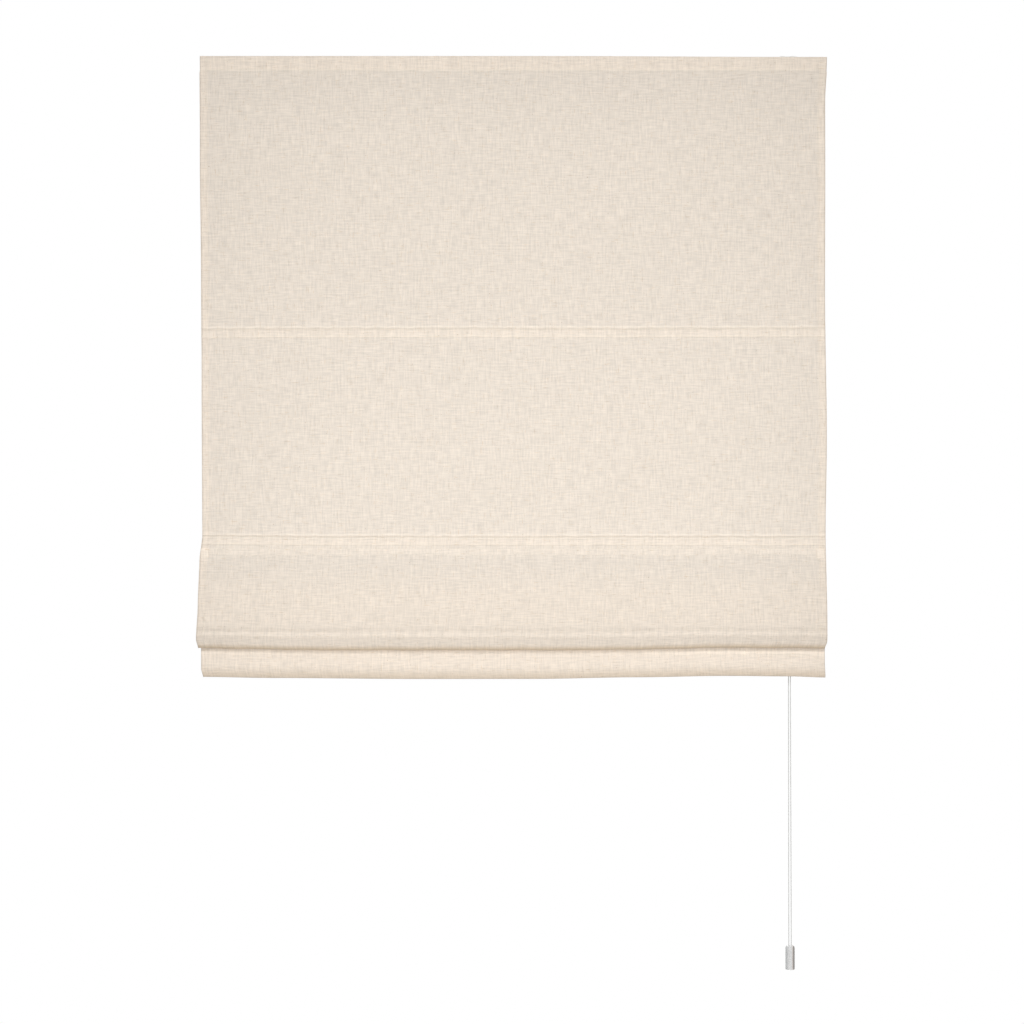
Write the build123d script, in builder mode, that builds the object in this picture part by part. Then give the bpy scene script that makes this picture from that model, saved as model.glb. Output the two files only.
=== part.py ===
"""A cord-drawn roman blind, with its lowest fold drawn up, as it hangs on its two wall brackets.

Millimetres, +Z up. The wall is the plane y = 0 and the room is towards -Y. The origin is the centre
of the four screw holes of the brackets, on the wall. Every height is worked out downwards from the
top of the headrail, and every depth is worked out outwards from the wall.
"""

import math
import os

from build123d import *

os.makedirs("parts", exist_ok=True)

# Wall brackets
bracket_spacing = 876.0
bracket_width = 28.0
bracket_steel = 1.4
screw_spacing = 13.0
screw_hole_radius = 2.25
bracket_hook = 3.6
bead_length = 21.0
bead_width = 9.0
bead_offset = 8.0
bead_height = 1.1
catch_half_width = 2.0
rivet_radius = 1.4

# Headrail, an aluminium channel that is open at the top
rail_length = 988.0
rail_depth = 24.0
rail_height = 22.0
rail_wall = 1.2
rail_lip = 5.0
rail_lip_drop = 2.4
rail_to_wall = 6.5
screws_below_rail_top = 13.0
end_cap_thickness = 1.6
end_cap_plug = 6.0

# Hook tape on the headrail and loop tape on the cloth
tape_height = 18.0
tape_thickness = 1.2

# Cloth, one hemmed sheet
cloth_width = 1000.0
cloth_thickness = 0.7
turn_gap = 0.3
header_turn = 22.0
side_hem = 12.0
hem_turn = 75.0

# Rods in their pockets, down the cloth
rod_1_drop = 437.0
rod_pitch = 333.0
rod_3_below_rod_2 = 24.0
rod_radius = 2.0
rod_cap_length = 10.0
rod_cap_wall = 0.7
pocket_height = 16.0
pocket_cloth = 0.5

# The fold below rod 2, and the hem below rod 3
fold_depth_below_rod_2 = 176.0
fold_bulge = 4.6
fold_mouth = 1.4
hem_below_rod_3 = 195.0
hem_bar_height = 25.0
hem_bar_thickness = 2.5
bar_cap_wall = 0.6
bar_cap_length = 14.0

# Rings and cords
cord_radius = 0.7
column_spacing = 810.0
ring_radius = 5.5
ring_section = 1.0
stop_radius = 5.0
stop_length = 14.0
pull_x = 439.6
pull_groove_offset = 2.75
pull_gap_at_toggle = 2.05
toggle_x = 443.0
toggle_radius = 7.5
toggle_length = 38.0
toggle_wall = 1.6
toggle_head = 9.0
toggle_top_z = -1407.0

# Pulleys, cord guides and cord lock
pulley_path_radius = 4.0
pulley_flange = 0.5
pulley_groove_width = 3.6
axle_radius = 1.0
guide_length = 16.0
guide_cheek = 1.2
guide_plate = 1.5
lock_length = 30.0
lock_height = 15.4
lock_wall = 2.5
lock_boss_length = 12.0
lock_boss_depth = 11.5
roller_radius = 2.8
roller_teeth = 20
roller_journal = 1.2
roller_travel = (3.2, -2.2)

# Clearances
seat = 0.2
channel_fit = 0.65
soft_gap = 0.3
sewn_gap = 0.05
catch_to_lock = 0.55
running = 0.05
tight = 0.02
cord_clearance = 0.25

# Heights and depths that follow from the sizes above
rail_top_z = screws_below_rail_top
rail_bottom_z = rail_top_z - rail_height
rail_floor_z = rail_bottom_z + rail_wall
rail_back_y = -rail_to_wall
rail_front_y = rail_back_y - rail_depth
rail_mid_y = (rail_back_y + rail_front_y) / 2
channel_depth = rail_depth - 2 * rail_wall
tape_mid_z = rail_bottom_z + 0.5 + tape_height / 2
hook_front_y = rail_front_y - tape_thickness
loop_front_y = hook_front_y - tape_thickness
layer_step = cloth_thickness + turn_gap
cloth_y = loop_front_y - sewn_gap - cloth_thickness / 2 - layer_step
cloth_back_y = cloth_y + cloth_thickness / 2
rod_z = [rail_top_z - rod_1_drop, rail_top_z - rod_1_drop - rod_pitch]
rod_z.append(rod_z[1] - rod_3_below_rod_2)
fold_z = rod_z[1] - fold_depth_below_rod_2
hem_z = rod_z[2] - hem_below_rod_3
tunnel_radius = rod_radius + soft_gap
pocket_front_y = cloth_back_y + soft_gap
rod_y = pocket_front_y + pocket_cloth + tunnel_radius
pocket_back_y = rod_y + tunnel_radius + pocket_cloth
column_y = pocket_back_y + seat + ring_radius + ring_section
column_x = [-column_spacing / 2, column_spacing / 2]
pull_y = column_y + pull_groove_offset
rod_half_length = cloth_width / 2 - side_hem - 6.0
cap_end_x = rod_half_length + 4.0
pocket_half_length = cap_end_x - rod_cap_length - 2.0
guide_floor_z = rail_floor_z + guide_plate
pulley_rim_radius = pulley_path_radius + pulley_flange
pulley_z = guide_floor_z + seat + pulley_rim_radius
run_z = pulley_z + pulley_path_radius
bracket_x = [-bracket_spacing / 2, bracket_spacing / 2]
sides = ["left", "right"]


def save(piece, name):
    """Labels a finished piece and writes it to its own file."""
    piece.part.label = name
    export_step(piece.part, f"parts/{name}.step")


def left_of(run):
    """The unit vector to the left of a run in its sketch."""
    return Vector(-run.Y, run.X)


def beside(points, radii, shift):
    """The points and corner radii of the line that runs beside a path, shift to its left."""
    corners = [Vector(*point) for point in points]
    runs = [(b - a).normalized() for a, b in zip(corners, corners[1:])]
    moved = [corners[0] + left_of(runs[0]) * shift]
    bends = []
    for corner, before, after, radius in zip(corners[1:], runs, runs[1:], radii):
        normal = left_of(before) + left_of(after)
        moved.append(corner + normal * (shift / (1 + before.dot(after))))
        turn = before.X * after.Y - before.Y * after.X
        bends.append(radius - math.copysign(1, turn) * shift)
    moved.append(corners[-1] + left_of(runs[-1]) * shift)
    return moved, bends


def strip(points, radii, right, left):
    """Adds to the open sketch a strip along a path, from right on its right side to left on its left side."""
    near_points, near_bends = beside(points, radii, -right)
    far_points, far_bends = beside(points, radii, left)
    with BuildLine() as outline:
        near = FilletPolyline(*near_points, radius=near_bends)
        far = FilletPolyline(*far_points, radius=far_bends)
        Line(near @ 0, far @ 0)
        Line(near @ 1, far @ 1)
    make_face(outline.edges())


# Headrail: a lipped channel with two cord holes and the cut-out for the cord lock
half_wall = rail_wall / 2
lip_back_y = rail_back_y - rail_lip + half_wall
lip_front_y = rail_front_y + rail_lip - half_wall
lip_z = rail_top_z - half_wall
rail_path = [
    (lip_back_y, lip_z - rail_lip_drop),
    (lip_back_y, lip_z),
    (rail_back_y - half_wall, lip_z),
    (rail_back_y - half_wall, rail_bottom_z + half_wall),
    (rail_front_y + half_wall, rail_bottom_z + half_wall),
    (rail_front_y + half_wall, lip_z),
    (lip_front_y, lip_z),
    (lip_front_y, lip_z - rail_lip_drop),
]
collar_radius = 3.5
lock_mouth_x = pull_x + 1.0
with BuildPart() as headrail:
    with BuildSketch(Plane.YZ) as rail_section:
        strip(rail_path, [0.8, 1.2, 1.2, 1.2, 1.2, 0.8], half_wall, half_wall)
    extrude(amount=rail_length / 2, both=True)
    with BuildSketch(Plane.XY.offset(rail_floor_z + 1)) as cord_holes:
        with Locations(*[(x, column_y) for x in column_x]):
            Circle(collar_radius + seat)
        with Locations((lock_mouth_x, pull_y)):
            RectangleRounded(lock_boss_length + 2 * seat, lock_boss_depth + 2 * seat, 1.5)
    extrude(amount=-(rail_wall + 2), mode=Mode.SUBTRACT)
save(headrail, "headrail")

# End caps: a plate over the channel's end and a plug with thin walls inside it
for side, sign in zip(sides, [-1, 1]):
    end_plane = Plane(
        origin=(sign * rail_length / 2, rail_mid_y, (rail_top_z + rail_bottom_z) / 2),
        x_dir=(0, sign, 0),
        z_dir=(sign, 0, 0),
    )
    with BuildPart() as end_cap:
        with BuildSketch(end_plane) as cap_plate:
            RectangleRounded(rail_depth + 0.8, rail_height + 0.8, 1.6)
        extrude(amount=end_cap_thickness)
        fillet(end_cap.faces().sort_by(Axis.X)[-1 if sign > 0 else 0].edges(), 0.6)
        with BuildSketch(end_plane) as cap_plug:
            plug_height = rail_height - 2 * rail_wall - rail_lip_drop - 2 * seat
            with Locations((0, -rail_lip_drop / 2)):
                Rectangle(channel_depth - 2 * seat, plug_height)
                Rectangle(channel_depth - 2 * seat - 3.0, plug_height - 3.0, mode=Mode.SUBTRACT)
        extrude(amount=-end_cap_plug)
    save(end_cap, f"end_cap_{side}")

# Wall brackets: one bent strip of steel that goes behind, over and in front of the channel
half_steel = bracket_steel / 2
catch_top_z = rail_bottom_z - soft_gap
tab_z = catch_top_z - bracket_steel - seat - half_steel
pivot_y = -(bracket_steel + seat + catch_half_width + 0.7)
tab_front_y = pivot_y - 2.9
lock_boss_back_y = pull_y + lock_boss_depth / 2
catch_reach = pivot_y - catch_half_width - catch_to_lock - lock_boss_back_y
bracket_top_z = rail_top_z + seat + half_steel
hook_y = rail_front_y - seat - half_steel
bracket_path = [
    (tab_front_y, tab_z),
    (-half_steel, tab_z),
    (-half_steel, bracket_top_z),
    (hook_y, bracket_top_z),
    (hook_y, bracket_top_z + half_steel - bracket_hook - bracket_steel),
]
bead_mid_y = rail_mid_y - 0.5
for side, x in zip(sides, bracket_x):
    with BuildPart() as wall_bracket:
        with BuildSketch(Plane.YZ.offset(x)) as bracket_section:
            strip(bracket_path, [1.4, 1.6, 1.2], half_steel, half_steel)
        extrude(amount=bracket_width / 2, both=True)
        with BuildSketch(Plane.XZ) as screw_holes:
            with Locations((x, 0)):
                with GridLocations(0, screw_spacing, 1, 2):
                    Circle(screw_hole_radius)
        extrude(amount=2 * bracket_steel, both=True, mode=Mode.SUBTRACT)
        with BuildSketch(Plane.XY.offset(tab_z - bracket_steel)) as tab_corners:
            with Locations((x, tab_front_y - 0.5)):
                Rectangle(bracket_width + 1, 2 * (-tab_front_y - bracket_steel - 1.0) + 1)
                Rectangle(9.0, 2 * (-tab_front_y) + 1, mode=Mode.SUBTRACT)
            with Locations((x, pivot_y)):
                Circle(rivet_radius + tight)
        extrude(amount=2 * bracket_steel, mode=Mode.SUBTRACT)
        with BuildSketch(Plane.XY.offset(bracket_top_z + half_steel)) as beads:
            with Locations((x - bead_offset, bead_mid_y), (x + bead_offset, bead_mid_y)):
                SlotOverall(bead_length, bead_width, rotation=90)
        extrude(amount=bead_height)
        fillet(wall_bracket.faces().group_by(Axis.Z)[-1].edges(), 0.9)
        with BuildSketch(Plane.XY.offset(bracket_top_z - half_steel)) as bead_hollows:
            with Locations((x - bead_offset, bead_mid_y), (x + bead_offset, bead_mid_y)):
                SlotOverall(bead_length - 2.2, bead_width - 2.2, rotation=90)
        extrude(amount=bead_height, mode=Mode.SUBTRACT)
    save(wall_bracket, f"wall_bracket_{side}")

    # Catch that turns under the channel, and the rivet that it turns on
    catch_plane = Plane.XY.offset(catch_top_z)
    with BuildPart() as bracket_catch:
        with BuildSketch(catch_plane) as catch_outline:
            with Locations((x, pivot_y)):
                Circle(catch_half_width + 0.6)
            with Locations((x, pivot_y - catch_reach / 2)):
                Rectangle(2 * catch_half_width, catch_reach)
            with Locations((x, pivot_y - catch_reach)):
                Circle(catch_half_width)
            with Locations((x, pivot_y)):
                Circle(rivet_radius + running, mode=Mode.SUBTRACT)
        extrude(amount=-bracket_steel)
        with BuildSketch(catch_plane.offset(-bracket_steel)) as finger_tab:
            with Locations((x, pivot_y - catch_reach - 0.4)):
                Rectangle(2 * catch_half_width - 1.0, 1.2)
        extrude(amount=-2.2)
    save(bracket_catch, f"bracket_catch_{side}")

    rivet_axis = Axis((x, pivot_y, 0), (0, 0, 1))
    head_top_z = catch_top_z + 0.6
    tab_under_z = tab_z - half_steel
    with BuildPart() as bracket_rivet:
        with BuildSketch(Plane(origin=(x, pivot_y, 0), x_dir=(1, 0, 0), z_dir=(0, -1, 0))) as rivet_half:
            with BuildLine():
                Polyline(
                    (0, tab_under_z - 0.9),
                    (1.6, tab_under_z - 0.9),
                    (2.2, tab_under_z - 0.4),
                    (2.2, tab_under_z),
                    (rivet_radius, tab_under_z),
                    (rivet_radius, catch_top_z + running),
                    (1.9, catch_top_z + running),
                    (1.9, head_top_z - 0.2),
                    (1.5, head_top_z),
                    (0, head_top_z),
                    close=True,
                )
            make_face()
        revolve(axis=rivet_axis)
    save(bracket_rivet, f"bracket_rivet_{side}")

# Hook tape and loop tape, face to face
for name, front_y in [("hook_tape", hook_front_y), ("loop_tape", loop_front_y)]:
    with BuildPart() as tape:
        with BuildSketch(Plane.XZ.offset(-front_y)) as tape_face:
            with Locations((0, tape_mid_z)):
                RectangleRounded(rail_length - 4, tape_height, 1.0)
        extrude(amount=-tape_thickness)
    save(tape, name)

# Cloth: turned over at the top, straight to rod 2, out and down into the fold, up to rod 3 and over,
# down to the hem, and up again behind the hem bar
half_cloth = cloth_thickness / 2
apex_z = rod_z[2] + pocket_height / 2 + 1.0
fold_start_z = rod_z[1] - pocket_height / 2 - 1.0
bar_room = hem_bar_thickness + 2 * bar_cap_wall + 2 * soft_gap
bar_back_y = cloth_y + bar_room + cloth_thickness
bar_top_z = hem_z + cloth_thickness + soft_gap + hem_bar_height + 2 * bar_cap_wall
turned_y = cloth_y + layer_step
front_leg = [
    (cloth_y, fold_start_z),
    (cloth_y - 0.82 * fold_bulge, fold_start_z - 5.0),
    (cloth_y - fold_bulge, fold_z + 50.0),
    (cloth_y - 0.9 * fold_bulge, fold_z + half_cloth),
]
front_leg_radii = [3.0, 3.0, 200.0]
back_leg = [
    (cloth_y - fold_mouth, fold_z + half_cloth),
    (cloth_y - fold_mouth, apex_z),
    (cloth_y, apex_z),
]
loop_radius = 0.49 * (0.9 * fold_bulge - fold_mouth)
back_leg_radii = [loop_radius, 0.49 * fold_mouth, 0.49 * fold_mouth]
header = [
    (turned_y, rail_top_z - header_turn),
    (turned_y, rail_top_z - half_cloth),
    (cloth_y, rail_top_z - half_cloth),
]
header_radii = [0.49 * layer_step, 0.49 * layer_step]
hem = [
    (cloth_y, hem_z + half_cloth),
    (bar_back_y, hem_z + half_cloth),
    (bar_back_y, bar_top_z + 3.0),
    (turned_y, bar_top_z + 11.0),
    (turned_y, hem_z + hem_turn),
]
hem_radii = [1.5, 1.5, 4.0, 4.0]
cloth_path = header + front_leg + back_leg + hem
cloth_radii = header_radii + front_leg_radii + [loop_radius] + back_leg_radii + hem_radii
side_path = [
    (cloth_y, rail_top_z - header_turn - 1.0),
    *front_leg,
    *back_leg,
    (cloth_y, hem_z + hem_turn + 1.0),
]
side_radii = front_leg_radii + [loop_radius] + back_leg_radii
with BuildPart() as shade_cloth:
    with BuildSketch(Plane.YZ) as cloth_section:
        strip(cloth_path, cloth_radii, half_cloth, half_cloth)
    extrude(amount=cloth_width / 2, both=True)
    for sign in (-1, 1):
        with BuildSketch(Plane.YZ.offset(sign * cloth_width / 2)) as side_section:
            strip(side_path, side_radii, half_cloth, half_cloth + cloth_thickness)
        extrude(amount=-sign * side_hem)
save(shade_cloth, "shade_cloth")

# Rods with a cap on each end, their pockets, and the rings on the pockets
for number, z in enumerate(rod_z, 1):
    with BuildPart() as rod:
        with BuildSketch(Plane.YZ.offset(-rod_half_length)) as rod_section:
            with Locations((rod_y, z)):
                Circle(rod_radius)
        extrude(amount=2 * rod_half_length)
        chamfer(rod.edges().filter_by(GeomType.CIRCLE), 0.3)
    save(rod, f"rod_{number}")

    with BuildPart() as rod_caps:
        for sign in (-1, 1):
            cap_plane = Plane(origin=(sign * cap_end_x, rod_y, z), x_dir=(0, 1, 0), z_dir=(sign, 0, 0))
            with BuildSketch(cap_plane) as cap_round:
                Circle(rod_radius + rod_cap_wall)
            extrude(amount=-rod_cap_length)
            with BuildSketch(cap_plane.offset(-(cap_end_x - rod_half_length) + seat)) as cap_bore:
                Circle(rod_radius + running)
            extrude(amount=-rod_cap_length, mode=Mode.SUBTRACT)
        left_rims = rod_caps.edges().filter_by(GeomType.CIRCLE).group_by(SortBy.RADIUS)[-1]
        fillet(left_rims.sort_by(Axis.X)[0], 1.2)
        right_rims = rod_caps.edges().filter_by(GeomType.CIRCLE).group_by(SortBy.RADIUS)[-1]
        fillet(right_rims.sort_by(Axis.X)[-1], 1.2)
    save(rod_caps, f"rod_{number}_caps")

    with BuildPart() as rod_pocket:
        with BuildSketch(Plane.YZ) as pocket_section:
            with Locations((pocket_front_y + pocket_cloth / 2, z)):
                Rectangle(pocket_cloth, pocket_height)
            with Locations((rod_y, z)):
                Circle(tunnel_radius + pocket_cloth)
            with Locations(((pocket_front_y + rod_y) / 2, z)):
                Rectangle(rod_y - pocket_front_y, 2 * (tunnel_radius + pocket_cloth))
            with Locations((rod_y, z)):
                Circle(tunnel_radius, mode=Mode.SUBTRACT)
            with Locations((rod_y - tunnel_radius / 2, z)):
                Rectangle(tunnel_radius, 2 * tunnel_radius, mode=Mode.SUBTRACT)
        extrude(amount=pocket_half_length, both=True)
    save(rod_pocket, f"rod_pocket_{number}")

    for side, x in zip(sides, column_x):
        ring_plane = Plane(origin=(x, column_y, z), x_dir=(1, 0, 0), z_dir=(0, -1, 0))
        with BuildPart() as ring:
            with BuildSketch(ring_plane) as ring_section_sketch:
                with Locations((ring_radius, 0)):
                    Circle(ring_section)
            revolve(axis=Axis((x, column_y, z), (0, 0, 1)))
        save(ring, f"ring_{number}_{side}")

# Hem bar and the soft caps on its ends
bar_y = cloth_back_y + soft_gap + bar_cap_wall + hem_bar_thickness / 2
bar_z = bar_top_z - bar_cap_wall - hem_bar_height / 2
bar_half_length = rod_half_length - 2.0
with BuildPart() as hem_bar:
    with BuildSketch(Plane.YZ) as bar_section:
        with Locations((bar_y, bar_z)):
            RectangleRounded(hem_bar_thickness, hem_bar_height, 1.1)
    extrude(amount=bar_half_length, both=True)
save(hem_bar, "hem_bar")

with BuildPart() as hem_bar_caps:
    for sign in (-1, 1):
        bar_end = Plane(
            origin=(sign * (bar_half_length + 2.0), bar_y, bar_z), x_dir=(0, 1, 0), z_dir=(sign, 0, 0)
        )
        with BuildSketch(bar_end) as bar_cap_outline:
            RectangleRounded(hem_bar_thickness + 2 * bar_cap_wall, hem_bar_height + 2 * bar_cap_wall, 1.6)
        extrude(amount=-bar_cap_length)
        with BuildSketch(bar_end.offset(-2.0 + seat)) as bar_cap_bore:
            RectangleRounded(hem_bar_thickness + 2 * running, hem_bar_height + 2 * running, 1.1)
        extrude(amount=-bar_cap_length, mode=Mode.SUBTRACT)
save(hem_bar_caps, "hem_bar_caps")

# Cord stops under the lowest rings, and the knots that hold them
stop_top_z = rod_z[2] - ring_section - soft_gap
knot_room = 7.0
knot_top_z = stop_top_z - stop_length + knot_room - seat
for side, x in zip(sides, column_x):
    stop_plane = Plane(origin=(x, column_y, 0), x_dir=(1, 0, 0), z_dir=(0, -1, 0))
    stop_axis = Axis((x, column_y, 0), (0, 0, 1))
    stop_bottom_z = stop_top_z - stop_length
    bore_radius = cord_radius + cord_clearance
    with BuildPart() as cord_stop:
        with BuildSketch(stop_plane) as stop_half:
            with BuildLine():
                Polyline(
                    (stop_radius * 0.66, stop_bottom_z),
                    (2.7, stop_bottom_z),
                    (2.7, stop_bottom_z + knot_room),
                    (bore_radius, stop_bottom_z + knot_room),
                    (bore_radius, stop_top_z),
                    (stop_radius * 0.66, stop_top_z),
                )
                ThreePointArc(
                    (stop_radius * 0.66, stop_top_z),
                    (stop_radius, (stop_top_z + stop_bottom_z) / 2),
                    (stop_radius * 0.66, stop_bottom_z),
                )
            make_face()
        revolve(axis=stop_axis)
    save(cord_stop, f"cord_stop_{side}")

    with BuildPart() as lift_knot:
        with BuildSketch(stop_plane) as knot_half:
            with BuildLine():
                FilletPolyline(
                    (0, knot_top_z),
                    (2.3, knot_top_z),
                    (2.3, knot_top_z - 4.6),
                    (0, knot_top_z - 4.6),
                    radius=[1.1, 1.1],
                )
                Line((0, knot_top_z), (0, knot_top_z - 4.6))
            make_face()
        revolve(axis=stop_axis)
    save(lift_knot, f"lift_knot_{side}")


def grooved_pulley(centre, grooves, half_width):
    """Revolves in the open part a pulley on an axis along Y, with a round groove at each listed distance."""
    with BuildSketch(Plane(origin=centre, x_dir=(1, 0, 0), z_dir=(0, 0, 1))) as pulley_half:
        with Locations(((axle_radius + running + pulley_rim_radius) / 2, 0)):
            Rectangle(pulley_rim_radius - axle_radius - running, 2 * half_width)
        with Locations(*[(pulley_path_radius, groove) for groove in grooves]):
            Circle(cord_radius + 0.1, mode=Mode.SUBTRACT)
        with Locations(*[(pulley_path_radius + cord_radius, groove) for groove in grooves]):
            Rectangle(2 * cord_radius, 2 * cord_radius + 0.6, mode=Mode.SUBTRACT)
    revolve(profiles=pulley_half.sketch, axis=Axis(centre, (0, 1, 0)))


# Cord guides over the ring columns: a plate with a collar, two cheeks, a pulley and its axle
cheek_gap = pulley_groove_width / 2 + seat
for side, x in zip(sides, column_x):
    centre_x = x + pulley_path_radius
    cheek_outer = cheek_gap + guide_cheek
    with BuildPart() as cord_guide:
        with BuildSketch(Plane.XY.offset(rail_floor_z)) as guide_base:
            with Locations((centre_x, rail_mid_y)):
                RectangleRounded(guide_length, channel_depth - 2 * channel_fit, 1.0)
        extrude(amount=guide_plate)
        with BuildSketch(Plane.XY.offset(rail_floor_z)) as guide_collar:
            with Locations((x, column_y)):
                Circle(collar_radius)
        extrude(amount=-(rail_wall + 1.0))
        for face_y in (column_y - cheek_gap, column_y + cheek_outer):
            with BuildSketch(Plane.XZ.offset(-face_y)) as cheek:
                with Locations((centre_x, (guide_floor_z + pulley_z) / 2)):
                    Rectangle(9.0, pulley_z - guide_floor_z)
                with Locations((centre_x, pulley_z)):
                    Circle(4.5)
            extrude(amount=guide_cheek)
        with BuildSketch(Plane.XZ.offset(-column_y)) as axle_hole:
            with Locations((centre_x, pulley_z)):
                Circle(axle_radius + tight)
        extrude(amount=cheek_outer + 1, both=True, mode=Mode.SUBTRACT)
        with BuildSketch(Plane.XY.offset(guide_floor_z)) as guide_bore:
            with Locations((x, column_y)):
                Circle(1.7)
        extrude(amount=-(guide_plate + rail_wall + 2), mode=Mode.SUBTRACT)
        chamfer(cord_guide.faces().sort_by(Axis.Z)[0].edges(), 0.5)
    save(cord_guide, f"cord_guide_{side}")

    with BuildPart() as guide_pulley:
        grooved_pulley((centre_x, column_y, pulley_z), [0], pulley_groove_width / 2)
    save(guide_pulley, f"guide_pulley_{side}")

    with BuildPart() as guide_axle:
        with BuildSketch(Plane.XZ.offset(-column_y)) as axle_round:
            with Locations((centre_x, pulley_z)):
                Circle(axle_radius)
        extrude(amount=cheek_outer + 0.3, both=True)
        chamfer(guide_axle.edges().filter_by(GeomType.CIRCLE), 0.2)
    save(guide_axle, f"guide_axle_{side}")

# Cord lock: a moulded housing, a pulley with two grooves, and a toothed roller in slanting slots
lock_pulley_x = pull_x - pulley_path_radius
lock_start_x = lock_pulley_x - 13.0
lock_mid_x = lock_start_x + lock_length / 2
lock_depth = channel_depth - 2 * channel_fit - 2 * abs(pull_y - rail_mid_y)
lock_top_z = rail_floor_z + lock_height
lock_grooves = [-pull_groove_offset, pull_groove_offset]
lock_pulley_half = pull_groove_offset + pulley_groove_width / 2
cavity_depth = max(lock_depth - 2 * lock_wall, 2 * lock_pulley_half + 2 * seat)
roller_x = pull_x + cord_radius + 0.1 + roller_radius
roller_z = pulley_z + 0.6
roller_out_x = roller_x + roller_travel[0]
roller_out_z = roller_z + roller_travel[1]
slot_angle = math.degrees(math.atan2(roller_travel[1], roller_travel[0]))
slot_radius = roller_journal + 0.15
slot_length = math.hypot(*roller_travel)
mouth_depth = 2 * pull_groove_offset + 2 * cord_radius + 2.4
with BuildPart() as lock_housing:
    with BuildSketch(Plane.XY.offset(rail_floor_z)) as lock_base:
        with Locations((lock_mid_x, pull_y)):
            RectangleRounded(lock_length, lock_depth, 2.0)
    extrude(amount=lock_height)
    with BuildSketch(Plane.XY.offset(guide_floor_z)) as lock_cavity:
        with Locations((lock_mid_x, pull_y)):
            RectangleRounded(lock_length - 2 * 2.0, cavity_depth, 1.5)
    extrude(amount=lock_height, mode=Mode.SUBTRACT)
    with BuildSketch(Plane.YZ.offset(lock_start_x - 1)) as cord_entry:
        with Locations((pull_y, run_z + lock_height / 2 - 2.0)):
            RectangleRounded(mouth_depth, lock_height, 1.5)
    extrude(amount=5.0, mode=Mode.SUBTRACT)
    with BuildSketch(Plane.XY.offset(rail_floor_z)) as lock_boss:
        with Locations((lock_mouth_x, pull_y)):
            RectangleRounded(lock_boss_length, lock_boss_depth, 1.3)
    extrude(amount=-(rail_wall + 1.4))
    fillet(lock_housing.faces().sort_by(Axis.Z)[0].edges(), 0.8)
    with BuildSketch(Plane.XY.offset(guide_floor_z + 0.5)) as lock_mouth:
        with Locations((lock_mouth_x, pull_y)):
            RectangleRounded(6.5, mouth_depth, 1.5)
    extrude(amount=-(guide_plate + rail_wall + 3), mode=Mode.SUBTRACT)
    with BuildSketch(Plane.XZ.offset(-pull_y)) as lock_side_holes:
        with Locations((lock_pulley_x, pulley_z)):
            Circle(axle_radius + tight)
        with Locations(((roller_x + roller_out_x) / 2, (roller_z + roller_out_z) / 2)):
            SlotCenterToCenter(slot_length, 2 * slot_radius, rotation=slot_angle)
    extrude(amount=lock_depth, both=True, mode=Mode.SUBTRACT)
    with BuildSketch(Plane.XZ.offset(-pull_y)) as finger_notch:
        with Locations((lock_start_x + lock_length - 6.0, lock_top_z)):
            Circle(3.0)
    extrude(amount=lock_depth, both=True, mode=Mode.SUBTRACT)
save(lock_housing, "lock_housing")

with BuildPart() as lock_pulley:
    grooved_pulley((lock_pulley_x, pull_y, pulley_z), lock_grooves, lock_pulley_half)
save(lock_pulley, "lock_pulley")

with BuildPart() as lock_axle:
    with BuildSketch(Plane.XZ.offset(-pull_y)) as lock_axle_round:
        with Locations((lock_pulley_x, pulley_z)):
            Circle(axle_radius)
    extrude(amount=lock_depth / 2 - 0.3, both=True)
    chamfer(lock_axle.edges().filter_by(GeomType.CIRCLE), 0.2)
save(lock_axle, "lock_axle")

roller_plane = Plane.XZ.offset(-pull_y)
roller_half = cavity_depth / 2 - 0.5
with BuildPart() as lock_roller:
    with BuildSketch(roller_plane) as roller_round:
        with Locations((roller_x, roller_z)):
            Circle(roller_radius)
            with PolarLocations(roller_radius, roller_teeth):
                Rectangle(0.5, 0.5, rotation=45, mode=Mode.SUBTRACT)
    extrude(amount=roller_half, both=True)
    with BuildSketch(roller_plane) as journal_round:
        with Locations((roller_x, roller_z)):
            Circle(roller_journal)
    extrude(amount=lock_depth / 2 - 0.4, both=True)
save(lock_roller, "lock_roller")


def cord_tube(points, radii, name):
    """Writes a cord of straight runs and tangent arcs, and prints its length, radii and volume."""
    with BuildPart() as cord:
        with BuildLine() as cord_line:
            if radii:
                route = FilletPolyline(*points, radius=radii)
            else:
                route = Line(*points)
        with BuildSketch(Plane(origin=route @ 0, z_dir=route % 0)) as cord_round:
            Circle(cord_radius)
        sweep()
    section = math.pi * cord_radius**2
    share = cord.part.volume / (section * route.length)
    print(f"{name}: length {route.length:.1f}, radii {radii}, volume over section times length {share:.4f}")
    save(cord, name)


# Lift cords: from the knot up through the rings, over the guide pulley, along the channel to the lock
lock_exit_z = rail_bottom_z - 1.4
groove_y = [pull_y + pull_groove_offset, pull_y - pull_groove_offset]
cord_tube(
    [
        (column_x[0], column_y, knot_top_z),
        (column_x[0], column_y, run_z),
        (column_x[0] + 45.0, column_y, run_z),
        (column_x[1] - 45.0, groove_y[0], run_z),
        (pull_x, groove_y[0], run_z),
        (pull_x, groove_y[0], lock_exit_z),
    ],
    [pulley_path_radius, 400.0, 400.0, pulley_path_radius],
    "lift_cord_left",
)
cord_tube(
    [
        (column_x[1], column_y, knot_top_z),
        (column_x[1], column_y, run_z),
        (pull_x, groove_y[1], run_z),
        (pull_x, groove_y[1], lock_exit_z),
    ],
    [pulley_path_radius, pulley_path_radius],
    "lift_cord_right",
)

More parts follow.
